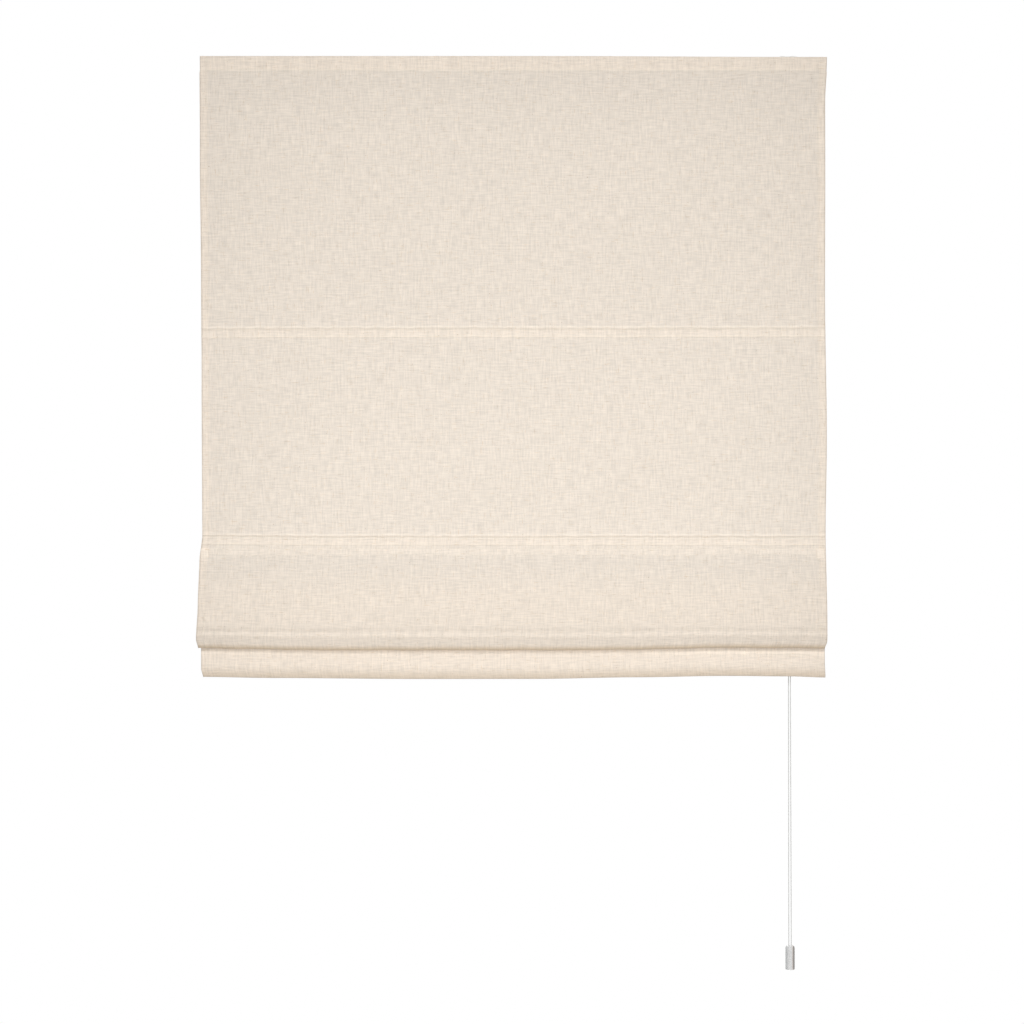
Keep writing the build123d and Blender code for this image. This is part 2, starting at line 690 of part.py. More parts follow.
# Pull cords: straight down from the lock to the knot inside the toggle
toggle_bottom_z = toggle_top_z - toggle_length
toggle_knot_z = toggle_top_z - toggle_head - seat
for side, y, sign in zip(sides, groove_y, [-1, 1]):
    end_x = toggle_x + sign * pull_gap_at_toggle
    pull_ends = [(pull_x, y, lock_exit_z - sewn_gap), (end_x, pull_y, toggle_knot_z + sewn_gap)]
    cord_tube(pull_ends, [], f"pull_cord_{side}")

# Toggle: a clear shell with a domed head and two cord holes, and the knot under its head
toggle_plane = Plane(origin=(toggle_x, pull_y, 0), x_dir=(1, 0, 0), z_dir=(0, -1, 0))
toggle_axis = Axis((toggle_x, pull_y, 0), (0, 0, 1))
with BuildPart() as toggle_shell:
    with BuildSketch(toggle_plane) as shell_half:
        with BuildLine():
            FilletPolyline(
                (0, toggle_top_z),
                (toggle_radius, toggle_top_z),
                (toggle_radius, toggle_bottom_z),
                (toggle_radius - toggle_wall, toggle_bottom_z),
                (toggle_radius - toggle_wall, toggle_top_z - toggle_head),
                (0, toggle_top_z - toggle_head),
                radius=[4.0, 0.7, 0.5, 1.0],
            )
            Line((0, toggle_top_z), (0, toggle_top_z - toggle_head))
        make_face()
    revolve(axis=toggle_axis)
    with BuildSketch(Plane.XY.offset(toggle_top_z + 1)) as toggle_holes:
        with Locations((toggle_x, pull_y)):
            with GridLocations(2 * pull_gap_at_toggle, 0, 2, 1):
                Circle(cord_radius + cord_clearance)
    extrude(amount=-(toggle_head + 2), mode=Mode.SUBTRACT)
save(toggle_shell, "toggle_shell")

with BuildPart() as toggle_knot:
    with BuildSketch(toggle_plane) as toggle_knot_half:
        with BuildLine():
            FilletPolyline(
                (0, toggle_knot_z),
                (4.7, toggle_knot_z),
                (4.7, toggle_knot_z - 7.4),
                (0, toggle_knot_z - 7.4),
                radius=[1.7, 1.7],
            )
            Line((0, toggle_knot_z), (0, toggle_knot_z - 7.4))
        make_face()
    revolve(axis=toggle_axis)
save(toggle_knot, "toggle_knot")
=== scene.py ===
"""Looks of a cord-drawn roman blind, hung on two wall brackets with its lowest fold drawn up.

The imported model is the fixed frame. The cloth, its sewn pockets, the stitching, the cords and the knots
are built here as surfaces of two parameters. The rail, brackets, rods, rings, cord lock and toggle keep
their modelled shape and are only given a finish. Everything is in metres, with +Z up, the room at -Y and
the wall at y = 0.
"""

from __future__ import annotations

import logging
import math
from dataclasses import dataclass, field
from enum import Enum

import bpy
import numpy as np
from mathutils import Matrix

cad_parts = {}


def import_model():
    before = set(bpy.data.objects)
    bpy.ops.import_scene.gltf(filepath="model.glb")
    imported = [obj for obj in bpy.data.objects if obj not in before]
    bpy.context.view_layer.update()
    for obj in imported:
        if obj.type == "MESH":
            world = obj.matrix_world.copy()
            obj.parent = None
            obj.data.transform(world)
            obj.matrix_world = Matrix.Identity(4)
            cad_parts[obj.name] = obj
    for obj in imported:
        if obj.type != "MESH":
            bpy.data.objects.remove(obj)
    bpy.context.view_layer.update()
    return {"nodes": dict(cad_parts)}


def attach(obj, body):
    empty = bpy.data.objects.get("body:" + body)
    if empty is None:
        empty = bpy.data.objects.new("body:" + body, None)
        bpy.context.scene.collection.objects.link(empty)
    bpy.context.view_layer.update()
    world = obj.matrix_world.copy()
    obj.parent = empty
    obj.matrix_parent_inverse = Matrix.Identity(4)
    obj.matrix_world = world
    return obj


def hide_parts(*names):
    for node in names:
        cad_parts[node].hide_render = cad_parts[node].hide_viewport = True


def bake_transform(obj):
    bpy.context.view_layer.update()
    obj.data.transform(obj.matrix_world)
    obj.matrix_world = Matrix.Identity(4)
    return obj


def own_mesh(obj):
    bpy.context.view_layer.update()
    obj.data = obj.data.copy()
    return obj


LOG = logging.getLogger("roman_blind")
Colour = tuple[float, float, float]
Vector = tuple[float, float, float]
Grid = np.ndarray
Socket = bpy.types.NodeSocket
Material = bpy.types.Material
Piece = bpy.types.Object


class Weave(Enum):
    """Which cloth a woven finish is for."""

    SHADE = "shade"
    LINING = "lining"


class Side(Enum):
    """Left or right of the blind, seen from the room."""

    LEFT = -1
    RIGHT = 1

# Node graphs


class NodeGraph:
    """A node tree under construction, with short calls for the nodes that finishes and world share."""

    def __init__(self, tree: bpy.types.NodeTree) -> None:
        """Takes over a tree and empties it.

        Args:
            tree: The node tree.
        """
        self.tree = tree
        self.tree.nodes.clear()

    def link(self, source: Socket, target: Socket) -> None:
        """Joins two sockets."""
        self.tree.links.new(source, target)

    def node(self, kind: str, **values: object) -> bpy.types.Node:
        """Adds a node and sets its properties.

        Args:
            kind: The node's type name.
            **values: Properties of the node.

        Returns:
            The new node.
        """
        made = self.tree.nodes.new(kind)
        for key, value in values.items():
            setattr(made, key, value)
        return made

    def feed(self, socket: Socket, value: object) -> None:
        """Gives a socket a link, a number, or a colour.

        Args:
            socket: The input socket.
            value: Another socket, a number or a tuple.
        """
        if isinstance(value, Socket):
            self.link(value, socket)
        elif isinstance(value, tuple) and len(value) == 3 and socket.type == "RGBA":
            socket.default_value = (*value, 1.0)
        else:
            socket.default_value = value

    def noise(self, vector: Socket, scale: float | Vector, detail: float) -> Socket:
        """Noise about one half, stretched by the scale.

        Args:
            vector: The coordinates.
            scale: Cells per metre, alike in all directions or along each coordinate.
            detail: Octaves.

        Returns:
            The noise value.
        """
        cells = self.node("ShaderNodeMapping")
        self.link(vector, cells.inputs["Vector"])
        cells.inputs["Scale"].default_value = scale if isinstance(scale, tuple) else (scale,) * 3
        made = self.node("ShaderNodeTexNoise")
        self.link(cells.outputs[0], made.inputs["Vector"])
        made.inputs["Scale"].default_value = 1.0
        made.inputs["Detail"].default_value = detail
        return made.outputs[0]

    def math(self, kind: str, a: object, b: object = 0.0, c: object = 0.0) -> Socket:
        """One sum on numbers.

        Args:
            kind: The operation.
            a: First value or socket.
            b: Second value or socket.
            c: Third value or socket, for the operations that have one.

        Returns:
            The result.
        """
        made = self.node("ShaderNodeMath", operation=kind)
        for socket, value in zip(made.inputs, (a, b, c)):
            self.feed(socket, value)
        return made.outputs[0]

    def total(self, start: object, *parts: tuple[object, float]) -> object:
        """A start value plus each part times its share.

        Args:
            start: Value or socket.
            *parts: Sockets and their shares.

        Returns:
            The sum.
        """
        for value, share in parts:
            start = self.math("MULTIPLY_ADD", value, share, start)
        return start

    def window(self, value: object, low: float, high: float, start: object = 0.0, end: float = 1.0) -> Socket:
        """Maps low..high to start..end, held at both ends.

        Args:
            value: The value or socket.
            low: Where the ramp starts.
            high: Where the ramp ends.
            start: Result at the start.
            end: Result at the end.

        Returns:
            The mapped value.
        """
        made = self.node("ShaderNodeMapRange")
        self.feed(made.inputs["Value"], value)
        for name, number in (("From Min", low), ("From Max", high), ("To Min", start), ("To Max", end)):
            self.feed(made.inputs[name], number)
        return made.outputs[0]

    def vary(self, noise: object, low: float, high: float) -> object:
        """A factor from low to high over the middle of a noise, which is 0.3 to 0.7.

        Args:
            noise: The noise.
            low: Result where the noise is low.
            high: Result where it is high.

        Returns:
            The factor.
        """
        return self.window(noise, 0.3, 0.7, low, high)

    def mix(self, share: object, a: object, b: object) -> Socket:
        """A colour between two colours.

        Args:
            share: How much of the second.
            a: First colour or socket.
            b: Second colour or socket.

        Returns:
            The mixed colour.
        """
        made = self.node("ShaderNodeMix", data_type="RGBA")
        self.feed(made.inputs[0], share)
        self.feed(made.inputs[6], a)
        self.feed(made.inputs[7], b)
        return made.outputs[2]

    def shade(self, colour: object, factor: object) -> Socket:
        """A colour made lighter or darker by a factor.

        Args:
            colour: Colour or socket.
            factor: The factor or socket.

        Returns:
            The new colour.
        """
        made = self.node("ShaderNodeVectorMath", operation="SCALE")
        self.feed(made.inputs[0], colour)
        self.feed(made.inputs["Scale"], factor)
        return made.outputs[0]


class ShaderGraph(NodeGraph):
    """A material under construction, with its output and a principled shader."""

    def __init__(self, name: str) -> None:
        """Starts an empty material.

        Args:
            name: The material's name.
        """
        self.material = bpy.data.materials.new(name)
        self.material.use_nodes = True
        super().__init__(self.material.node_tree)
        self.output = self.node("ShaderNodeOutputMaterial")
        self.shader = self.node("ShaderNodeBsdfPrincipled")
        self.link(self.shader.outputs[0], self.output.inputs["Surface"])

    def flat(self) -> Socket:
        """The piece's own map, in metres along the width and the length of the cloth."""
        return self.node("ShaderNodeUVMap", uv_map="flat").outputs[0]

    def place(self) -> Socket:
        """Object coordinates, which are metres in the shared frame."""
        return self.node("ShaderNodeTexCoord").outputs["Object"]

    def attribute(self, name: str) -> Socket:
        """The number that a mesh carries at its points under a name."""
        return self.node("ShaderNodeAttribute", attribute_name=name).outputs["Fac"]

    def bump(self, height: object, depth: float, strength: float = 1.0) -> None:
        """Raises the shader's surface by a height.

        Args:
            height: The height, from 0 to 1.
            depth: Metres for a height of 1.
            strength: Share of the effect.
        """
        made = self.node("ShaderNodeBump")
        made.inputs["Strength"].default_value = strength
        made.inputs["Distance"].default_value = depth
        self.feed(made.inputs["Height"], height)
        self.link(made.outputs[0], self.shader.inputs["Normal"])

    def finish(self, colour: object, roughness: object, **sockets: float) -> Material:
        """Sets the shader and hands over the material.

        Args:
            colour: Base colour or socket.
            roughness: Roughness or socket.
            **sockets: Constant values for other sockets, with underscores for spaces.

        Returns:
            The material.
        """
        self.feed(self.shader.inputs["Base Color"], colour)
        self.feed(self.shader.inputs["Roughness"], roughness)
        for name, value in sockets.items():
            self.shader.inputs[name.replace("_", " ")].default_value = value
        return self.material


# Finishes


def linear(red: int, green: int, blue: int) -> Colour:
    """A display colour as scene linear values: c/12.92 up to 0.04045, above it ((c + 0.055)/1.055)^2.4."""
    parts = [c / 255.0 for c in (red, green, blue)]
    return tuple(c / 12.92 if c <= 0.04045 else ((c + 0.055) / 1.055) ** 2.4 for c in parts)


@dataclass(frozen=True)
class Speckle:
    """Sparse marks in the yarn: where a stretched noise passes from one level to another."""

    scale: Vector
    start: float
    full: float

    def on(self, g: ShaderGraph, flat: Socket) -> object:
        """The marks, from 0 to 1, on the piece's own map."""
        return g.window(g.noise(flat, self.scale, 1.0), self.start, self.full)


@dataclass(frozen=True)
class WovenCloth:
    """Plain weave of uneven yarn: single and doubled tones, slubs, flecks and a thread-deep relief. On the
    shade cloth, its tone and doubling attributes paint light and shade, with straw as painted warm shade.
    """

    kind: Weave
    single: Colour = linear(235, 224, 211)
    doubled: Colour = linear(242, 229, 214)
    # Straw colours the slubs, and is also painted warm shade where the doubling attribute passes 1.
    straw_and_shade: Colour = linear(214, 190, 158)
    husk: Colour = linear(176, 142, 104)
    pitch: float = 0.00085
    streak: float = 0.27
    thread: float = 0.07
    patch: float = 0.035
    weave: float = 0.035
    slub_weft: Speckle = Speckle((70.0, 760.0, 1.0), 0.655, 0.74)
    slub_warp: Speckle = Speckle((760.0, 70.0, 1.0), 0.665, 0.75)
    fleck: Speckle = Speckle((330.0, 470.0, 1.0), 0.725, 0.775)
    pale: Speckle = Speckle((520.0, 90.0, 1.0), 0.66, 0.75)

    def crossed(self, g: ShaderGraph, weft: Vector, warp: Vector, detail: float) -> Socket:
        """Noise drawn out along the weft plus noise drawn out along the warp, about zero.

        Args:
            g: The material.
            weft: Scale of the first.
            warp: Scale of the second.
            detail: Octaves.

        Returns:
            The sum less one.
        """
        flat = g.flat()
        both = g.math("ADD", g.noise(flat, weft, detail), g.noise(flat, warp, detail))
        return g.math("SUBTRACT", both, 1.0)

    def threads(self, g: ShaderGraph, flat: Socket) -> Socket:
        """The weave itself: the sine across the cloth times the sine along it, a period for two threads.

        Args:
            g: The material.
            flat: The piece's own map.

        Returns:
            From -1 to 1.
        """
        parts = g.node("ShaderNodeSeparateXYZ")
        g.link(flat, parts.inputs[0])
        turn = 2.0 * math.pi / self.pitch
        across, along = (g.math("SINE", g.math("MULTIPLY", parts.outputs[k], turn)) for k in (0, 1))
        return g.math("MULTIPLY", across, along)

    def build(self) -> Material:
        """Makes the material.

        Returns:
            The material.
        """
        g = ShaderGraph(f"{self.kind.value}_cloth")
        flat = g.flat()
        yarns = self.crossed(g, (30.0, 640.0, 1.0), (640.0, 30.0, 1.0), 3.0)
        thick = self.crossed(g, (48.0, 400.0, 1.0), (380.0, 42.0, 1.0), 1.0)
        cloud = g.math("SUBTRACT", g.noise(flat, (55.0, 48.0, 1.0), 2.0), 0.5)
        broad = g.math("SUBTRACT", g.noise(flat, (5.0, 4.0, 1.0), 2.0), 0.5)
        threads = self.threads(g, flat)
        slubs = g.math("MAXIMUM", self.slub_weft.on(g, flat), self.slub_warp.on(g, flat))
        tint: object = self.single
        lift = g.total(1.0, (thick, self.streak), (yarns, self.thread), (cloud, self.patch))
        lift = g.total(lift, (broad, self.patch), (threads, self.weave), (self.pale.on(g, flat), 0.02))
        # Painted light and shade on the shade cloth: the tone attribute makes it lighter and darker, and
        # doubling past 1 mixes in straw as painted warm shade.
        if self.kind is Weave.SHADE:
            layers = g.attribute("layers")
            tint = g.mix(g.window(layers, 0.0, 1.0), tint, self.doubled)
            tint = g.mix(g.window(layers, 1.0, 2.0), tint, self.straw_and_shade)
            lift = g.math("MULTIPLY", lift, g.attribute("tone"))
        tint = g.mix(g.math("MULTIPLY", slubs, 0.5), tint, self.straw_and_shade)
        tint = g.mix(g.math("MULTIPLY", self.fleck.on(g, flat), 0.55), tint, self.husk)
        g.bump(g.total(0.0, (threads, 0.5), (yarns, 0.9), (slubs, 0.6)), 0.00016, 0.7)
        looks = {"Specular_IOR_Level": 0.2, "Sheen_Weight": 0.06, "Sheen_Roughness": 0.5}
        return g.finish(g.shade(tint, lift), 0.9, **looks)


@dataclass(frozen=True)
class Braid:
    """Fine round braid: two sets of strands that cross, in the cord's own map."""

    name: str
    colour: Colour = linear(208, 208, 206)
    strands: float = 5.0
    lay: float = 0.0032

    def build(self) -> Material:
        """Makes the material.

        Returns:
            The material.
        """
        g = ShaderGraph(self.name)
        parts = g.node("ShaderNodeSeparateXYZ")
        g.link(g.flat(), parts.inputs[0])
        round_it = g.math("MULTIPLY", parts.outputs[0], 2.0 * math.pi * self.strands)
        along = g.math("MULTIPLY", parts.outputs[1], 2.0 * math.pi / self.lay)
        left = g.math("SINE", g.math("ADD", round_it, along))
        right = g.math("SINE", g.math("SUBTRACT", round_it, along))
        strands = g.math("MULTIPLY", left, right)
        wear = g.noise(g.place(), (160.0, 160.0, 40.0), 2.0)
        lift = g.total(g.vary(wear, 0.96, 1.03), (strands, 0.05))
        g.bump(strands, 0.00005, 0.35)
        return g.finish(g.shade(self.colour, lift), 0.75, Specular_IOR_Level=0.3)


@dataclass(frozen=True)
class Thread:
    """Sewing thread: twisted, matte, a shade lighter than the cloth."""

    colour: Colour = linear(240, 231, 214)

    def build(self) -> Material:
        """Makes the material.

        Returns:
            The material.
        """
        g = ShaderGraph("sewing_thread")
        twist = g.noise(g.place(), 900.0, 1.0)
        g.bump(twist, 0.00005, 0.6)
        return g.finish(g.shade(self.colour, g.vary(twist, 0.92, 1.04)), 0.8, Specular_IOR_Level=0.25)


@dataclass(frozen=True)
class PowderCoat:
    """Painted metal with a faint orange-peel skin and soft patches of dust."""

    name: str
    colour: Colour
    roughness: float = 0.42
    peel: float = 420.0

    def build(self) -> Material:
        """Makes the material.

        Returns:
            The material.
        """
        g = ShaderGraph(self.name)
        place = g.place()
        skin = g.noise(place, self.peel, 2.0)
        dust = g.noise(place, (9.0, 30.0, 30.0), 4.0)
        g.bump(skin, 0.00004, 0.35)
        tint = g.shade(self.colour, g.vary(dust, 0.955, 1.015))
        return g.finish(tint, g.vary(dust, self.roughness + 0.1, self.roughness - 0.05))


@dataclass(frozen=True)
class BareMetal:
    """Bare or plated metal, drawn along one direction."""

    name: str
    colour: Colour
    grain: Vector
    roughness: float = 0.34

    def build(self) -> Material:
        """Makes the material.

        Returns:
            The material.
        """
        g = ShaderGraph(self.name)
        place = g.place()
        drawn = g.noise(place, self.grain, 3.0)
        bloom = g.noise(place, 120.0, 3.0)
        g.bump(drawn, 0.00002, 0.4)
        tint = g.shade(self.colour, g.vary(bloom, 0.9, 1.05))
        rough = g.vary(drawn, self.roughness - 0.06, self.roughness + 0.12)
        return g.finish(tint, rough, Metallic=1.0)


@dataclass(frozen=True)
class Moulded:
    """Moulded plastic: a fine grain, faint flow marks and a little tone variation."""

    name: str
    colour: Colour
    roughness: float = 0.45
    grain: float = 900.0
    depth: float = 0.00003
    clear: float = 0.0
    scatter: float = 0.0

    def build(self) -> Material:
        """Makes the material.

        Returns:
            The material.
        """
        g = ShaderGraph(self.name)
        place = g.place()
        fine = g.noise(place, self.grain, 2.0)
        flow = g.noise(place, (40.0, 40.0, 90.0), 3.0)
        g.bump(fine, self.depth, 0.4)
        tint = g.shade(self.colour, g.vary(flow, 0.96, 1.03))
        rough = g.vary(fine, self.roughness - 0.04, self.roughness + 0.06)
        looks = {"IOR": 1.49, "Transmission_Weight": self.clear, "Subsurface_Weight": self.scatter}
        made = g.finish(tint, rough, **looks)
        g.shader.inputs["Subsurface Radius"].default_value = (1.0, 1.0, 0.9)
        g.shader.inputs["Subsurface Scale"].default_value = 0.002
        return made


@dataclass(frozen=True)
class SmokedPlasticPaintedReflection:
    """Smoked clear plastic of a turned pull, with painted reflection: upright bands of light and dark,
    painted by place across the pull, stand in for what a thick clear wall reflects and refracts.
    """

    centre: float = 0.443
    radius: float = 0.0075
    # Painted reflection: the colours across the pull, from its left side to its right.
    steps: tuple[tuple[float, Colour], ...] = (
        (0.00, linear(232, 233, 233)),
        (0.10, linear(206, 208, 208)),
        (0.22, linear(218, 218, 218)),
        (0.48, linear(224, 224, 224)),
        (0.56, linear(231, 231, 231)),
        (0.66, linear(217, 215, 213)),
        (0.74, linear(218, 208, 203)),
        (0.80, linear(150, 145, 140)),
        (0.89, linear(154, 150, 146)),
        (0.95, linear(196, 191, 188)),
    )

    def build(self) -> Material:
        """Makes the material.

        Returns:
            The material.
        """
        g = ShaderGraph("smoked_toggle_painted_reflection")
        place = g.place()
        parts = g.node("ShaderNodeSeparateXYZ")
        g.link(place, parts.inputs[0])
        # Painted reflection: the bands are painted by place across the pull, the same on its front and back.
        across = g.window(parts.outputs[0], self.centre - self.radius, self.centre + self.radius)
        ramp = g.node("ShaderNodeValToRGB")
        g.link(across, ramp.inputs[0])
        points = ramp.color_ramp.elements
        for _ in self.steps[2:]:
            points.new(0.5)
        for point, (at, colour) in zip(points, self.steps):
            point.position = at
            point.color = (*colour, 1.0)
        flow = g.noise(place, (300.0, 300.0, 60.0), 2.0)
        fine = g.noise(place, (900.0, 900.0, 300.0), 2.0)
        g.bump(fine, 0.00002, 0.3)
        tint = g.shade(ramp.outputs[0], g.vary(flow, 0.97, 1.02))
        return g.finish(tint, g.vary(fine, 0.24, 0.3), IOR=1.49, Transmission_Weight=0.18)


@dataclass(frozen=True)
class TapePile:
    """Hook or loop tape: rows of tiny hooks or a felted pile, seen as a fine broken relief."""

    name: str
    colour: Colour
    rows: float | Vector

    def build(self) -> Material:
        """Makes the material.

        Returns:
            The material.
        """
        g = ShaderGraph(self.name)
        place = g.place()
        pile = g.noise(place, self.rows, 2.0)
        rib = g.noise(place, (60.0, 60.0, 1100.0), 1.0)
        g.bump(g.total(pile, (rib, 0.5)), 0.0004, 0.9)
        tint = g.shade(self.colour, g.window(pile, 0.25, 0.75, 0.82, 1.06))
        return g.finish(tint, 0.95, Sheen_Weight=0.15)


@dataclass(frozen=True)
class PulledGlassFibre:
    """Pulled glass-fibre rod: long fine fibres under a satin resin."""

    colour: Colour = linear(236, 234, 222)

    def build(self) -> Material:
        """Makes the material.

        Returns:
            The material.
        """
        g = ShaderGraph("glass_fibre_rod")
        fibres = g.noise(g.place(), (6.0, 2600.0, 2600.0), 3.0)
        g.bump(fibres, 0.00003, 0.5)
        return g.finish(g.shade(self.colour, g.vary(fibres, 0.88, 1.05)), 0.4, Specular_IOR_Level=0.5)


class Finishes:
    """All finishes of the blind, each built once."""

    def __init__(self) -> None:
        """Builds every finish."""
        self.shade = WovenCloth(Weave.SHADE).build()
        self.lining = WovenCloth(Weave.LINING, single=linear(238, 231, 219), streak=0.1).build()
        self.cord = Braid("cord_braid").build()
        self.thread = Thread().build()
        self.rail = PowderCoat("rail_coat", linear(240, 240, 237)).build()
        self.bracket = PowderCoat("bracket_coat", linear(232, 231, 226), 0.5, 700.0).build()
        self.steel = BareMetal("zinc_steel", linear(205, 206, 208), (500.0, 500.0, 60.0)).build()
        self.bar = BareMetal("mill_bar", linear(212, 213, 214), (8.0, 900.0, 900.0), 0.38).build()
        self.cap = Moulded("moulded_cap", linear(238, 238, 234), 0.5).build()
        self.soft_cap = Moulded("soft_cap", linear(226, 224, 214), 0.6, scatter=0.1).build()
        milky = Moulded("milky_ring", linear(240, 240, 236), 0.25, depth=0.000006, clear=0.12, scatter=0.2)
        self.ring = milky.build()
        self.pulley = Moulded("acetal_pulley", linear(236, 235, 229), 0.35).build()
        self.toggle = SmokedPlasticPaintedReflection().build()
        self.hook = TapePile("hook_tape", linear(236, 235, 230), (700.0, 700.0, 900.0)).build()
        self.loop = TapePile("loop_tape", linear(240, 238, 232), 420.0).build()
        self.rod = PulledGlassFibre().build()


# Meshes


def put_in_scene(name: str, data: bpy.types.ID) -> Piece:
    """Makes an object of some data and links it to the scene.

    Args:
        name: The object's name.
        data: Its mesh, curve, camera or light.

    Returns:
        The object.
    """
    made = bpy.data.objects.new(name, data)
    bpy.context.scene.collection.objects.link(made)
    return made


@dataclass
class MeshParts:
    """Points, faces and per-point values of one or more islands, gathered into one mesh."""

    points: list[Grid] = field(default_factory=list)
    faces: list[Grid] = field(default_factory=list)
    flats: list[Grid] = field(default_factory=list)
    values: dict[str, list[Grid]] = field(default_factory=dict)
    count: int = 0

    def add(self, points: Grid, faces: Grid, flat: Grid, **values: Grid) -> None:
        """Adds an island.

        Args:
            points: Points, n by 3.
            faces: Quads as point numbers, m by 4.
            flat: The flat map at each point, n by 2.
            **values: Numbers at each point.
        """
        self.points.append(points)
        self.faces.append(faces + self.count)
        self.flats.append(flat)
        for name, value in values.items():
            self.values.setdefault(name, []).append(value)
        self.count += len(points)

    def build(self, name: str, *materials: Material) -> Piece:
        """Makes the object, with smooth faces and its flat map.

        Args:
            name: The object's name.
            *materials: Its materials.

        Returns:
            The new object.
        """
        points = np.concatenate(self.points)
        faces = np.concatenate(self.faces)
        mesh = bpy.data.meshes.new(name)
        mesh.vertices.add(len(points))
        mesh.vertices.foreach_set("co", points.astype(np.float32).ravel())
        mesh.loops.add(faces.size)
        mesh.loops.foreach_set("vertex_index", faces.ravel().astype(np.int32))
        mesh.polygons.add(len(faces))
        mesh.polygons.foreach_set("loop_start", np.arange(len(faces), dtype=np.int32) * 4)
        mesh.polygons.foreach_set("use_smooth", np.ones(len(faces), bool))
        mesh.update(calc_edges=True)
        flat = mesh.uv_layers.new(name="flat")
        flat.data.foreach_set("uv", np.concatenate(self.flats)[faces.ravel()].astype(np.float32).ravel())
        for key, parts in self.values.items():
            made = mesh.attributes.new(key, "FLOAT", "POINT")
            made.data.foreach_set("value", np.concatenate(parts).astype(np.float32))
        for material in materials:
            mesh.materials.append(material)
        return put_in_scene(name, mesh)


def grid_faces(rows: int, columns: int, wrap: bool = False, close: bool = False) -> Grid:
    """Quads between neighbours of a grid whose point number is row times columns plus column.

    Args:
        rows: Number of rows.
        columns: Number of columns.
        wrap: Whether the last column joins the first.
        close: Whether the last row joins the first.

    Returns:
        Quads, m by 4.
    """
    row = np.arange(rows if close else rows - 1)[:, None]
    column = np.arange(columns if wrap else columns - 1)[None, :]
    here, next_row = row * columns, (row + 1) % rows * columns
    after = (column + 1) % columns
    return np.stack([here + column, here + after, next_row + after, next_row + column], -1).reshape(-1, 4)


def unit(vectors: Grid) -> Grid:
    """Vectors divided by their lengths."""
    return vectors / np.linalg.norm(vectors, axis=-1, keepdims=True)


def lengths(line: Grid) -> Grid:
    """Distance along a line at each of its points, from 0."""
    return np.concatenate([[0.0], np.cumsum(np.linalg.norm(np.diff(line, axis=0), axis=-1))])


def surface_normals(points: Grid) -> Grid:
    """Unit normals of a grid surface: the cross product of its two central differences.

    Args:
        points: Points, rows by columns by 3.

    Returns:
        Normals of the same shape.
    """
    normal = np.cross(np.gradient(points, axis=1), np.gradient(points, axis=0))
    return normal / np.maximum(np.linalg.norm(normal, axis=-1, keepdims=True), 1e-12)


def cloth_shell(parts: MeshParts, points: Grid, thickness: float, flat: Grid, **values: Grid) -> None:
    """Adds a closed sheet: the surface moved half a thickness each way along its normals.

    The two sides are joined at the rim. The faces are turned round where the volume inside them, the sum of
    their corners' triple products, comes out negative.

    Args:
        parts: Where it is added.
        points: The middle surface, rows by columns by 3.
        thickness: The cloth's thickness.
        flat: The flat map, rows by columns by 2.
        **values: Numbers at each point, rows by columns.
    """
    rows, columns = points.shape[:2]
    normal = surface_normals(points) * thickness / 2.0
    both = np.concatenate([(points + normal).reshape(-1, 3), (points - normal).reshape(-1, 3)])
    top = grid_faces(rows, columns)
    n = rows * columns
    index = np.arange(n).reshape(rows, columns)
    rim = np.concatenate([index[0], index[1:, -1], index[-1, -2::-1], index[-2:0:-1, 0]])
    after = np.roll(rim, -1)
    sides = np.stack([rim, rim + n, after + n, after], -1)
    faces = np.concatenate([top[:, ::-1], top + n, sides[:, ::-1]])
    a, b, c, e = np.moveaxis(both[faces], 1, 0)
    if np.sum(a * (np.cross(b, c) + np.cross(c, e))) < 0:
        faces = faces[:, ::-1]
    twice = {key: np.concatenate([value.ravel(), value.ravel()]) for key, value in values.items()}
    parts.add(both, faces, np.concatenate([flat.reshape(-1, 2)] * 2), **twice)


TUBE_GUIDE = (0.31, -0.9, 0.27)
CAP_RINGS = (0.72, 0.02)
CAP_HEIGHT = 0.6


def cap_faces(levels: tuple[int, int, int], sides: int, sign: float) -> Grid:
    """Faces of a tube's rounded end: two bands between three rings and a fan of quads across the last.

    Args:
        levels: Number of the first point of each ring, from the tube to the tip.
        sides: Points in a ring.
        sign: 1 at the tube's end, -1 at its start, where the faces are turned round.

    Returns:
        Quads, m by 4.
    """
    c = np.arange(sides)
    after = (c + 1) % sides
    bands = zip(levels, levels[1:])
    quads = [np.stack([low + c, low + after, high + after, high + c], -1) for low, high in bands]
    k = np.arange(sides // 2 - 1)
    tip = levels[-1]
    quads.append(np.stack([tip + k, tip + k + 1, tip + sides - 2 - k, tip + sides - 1 - k], -1))
    faces = np.concatenate(quads)
    return faces if sign > 0 else faces[:, ::-1]


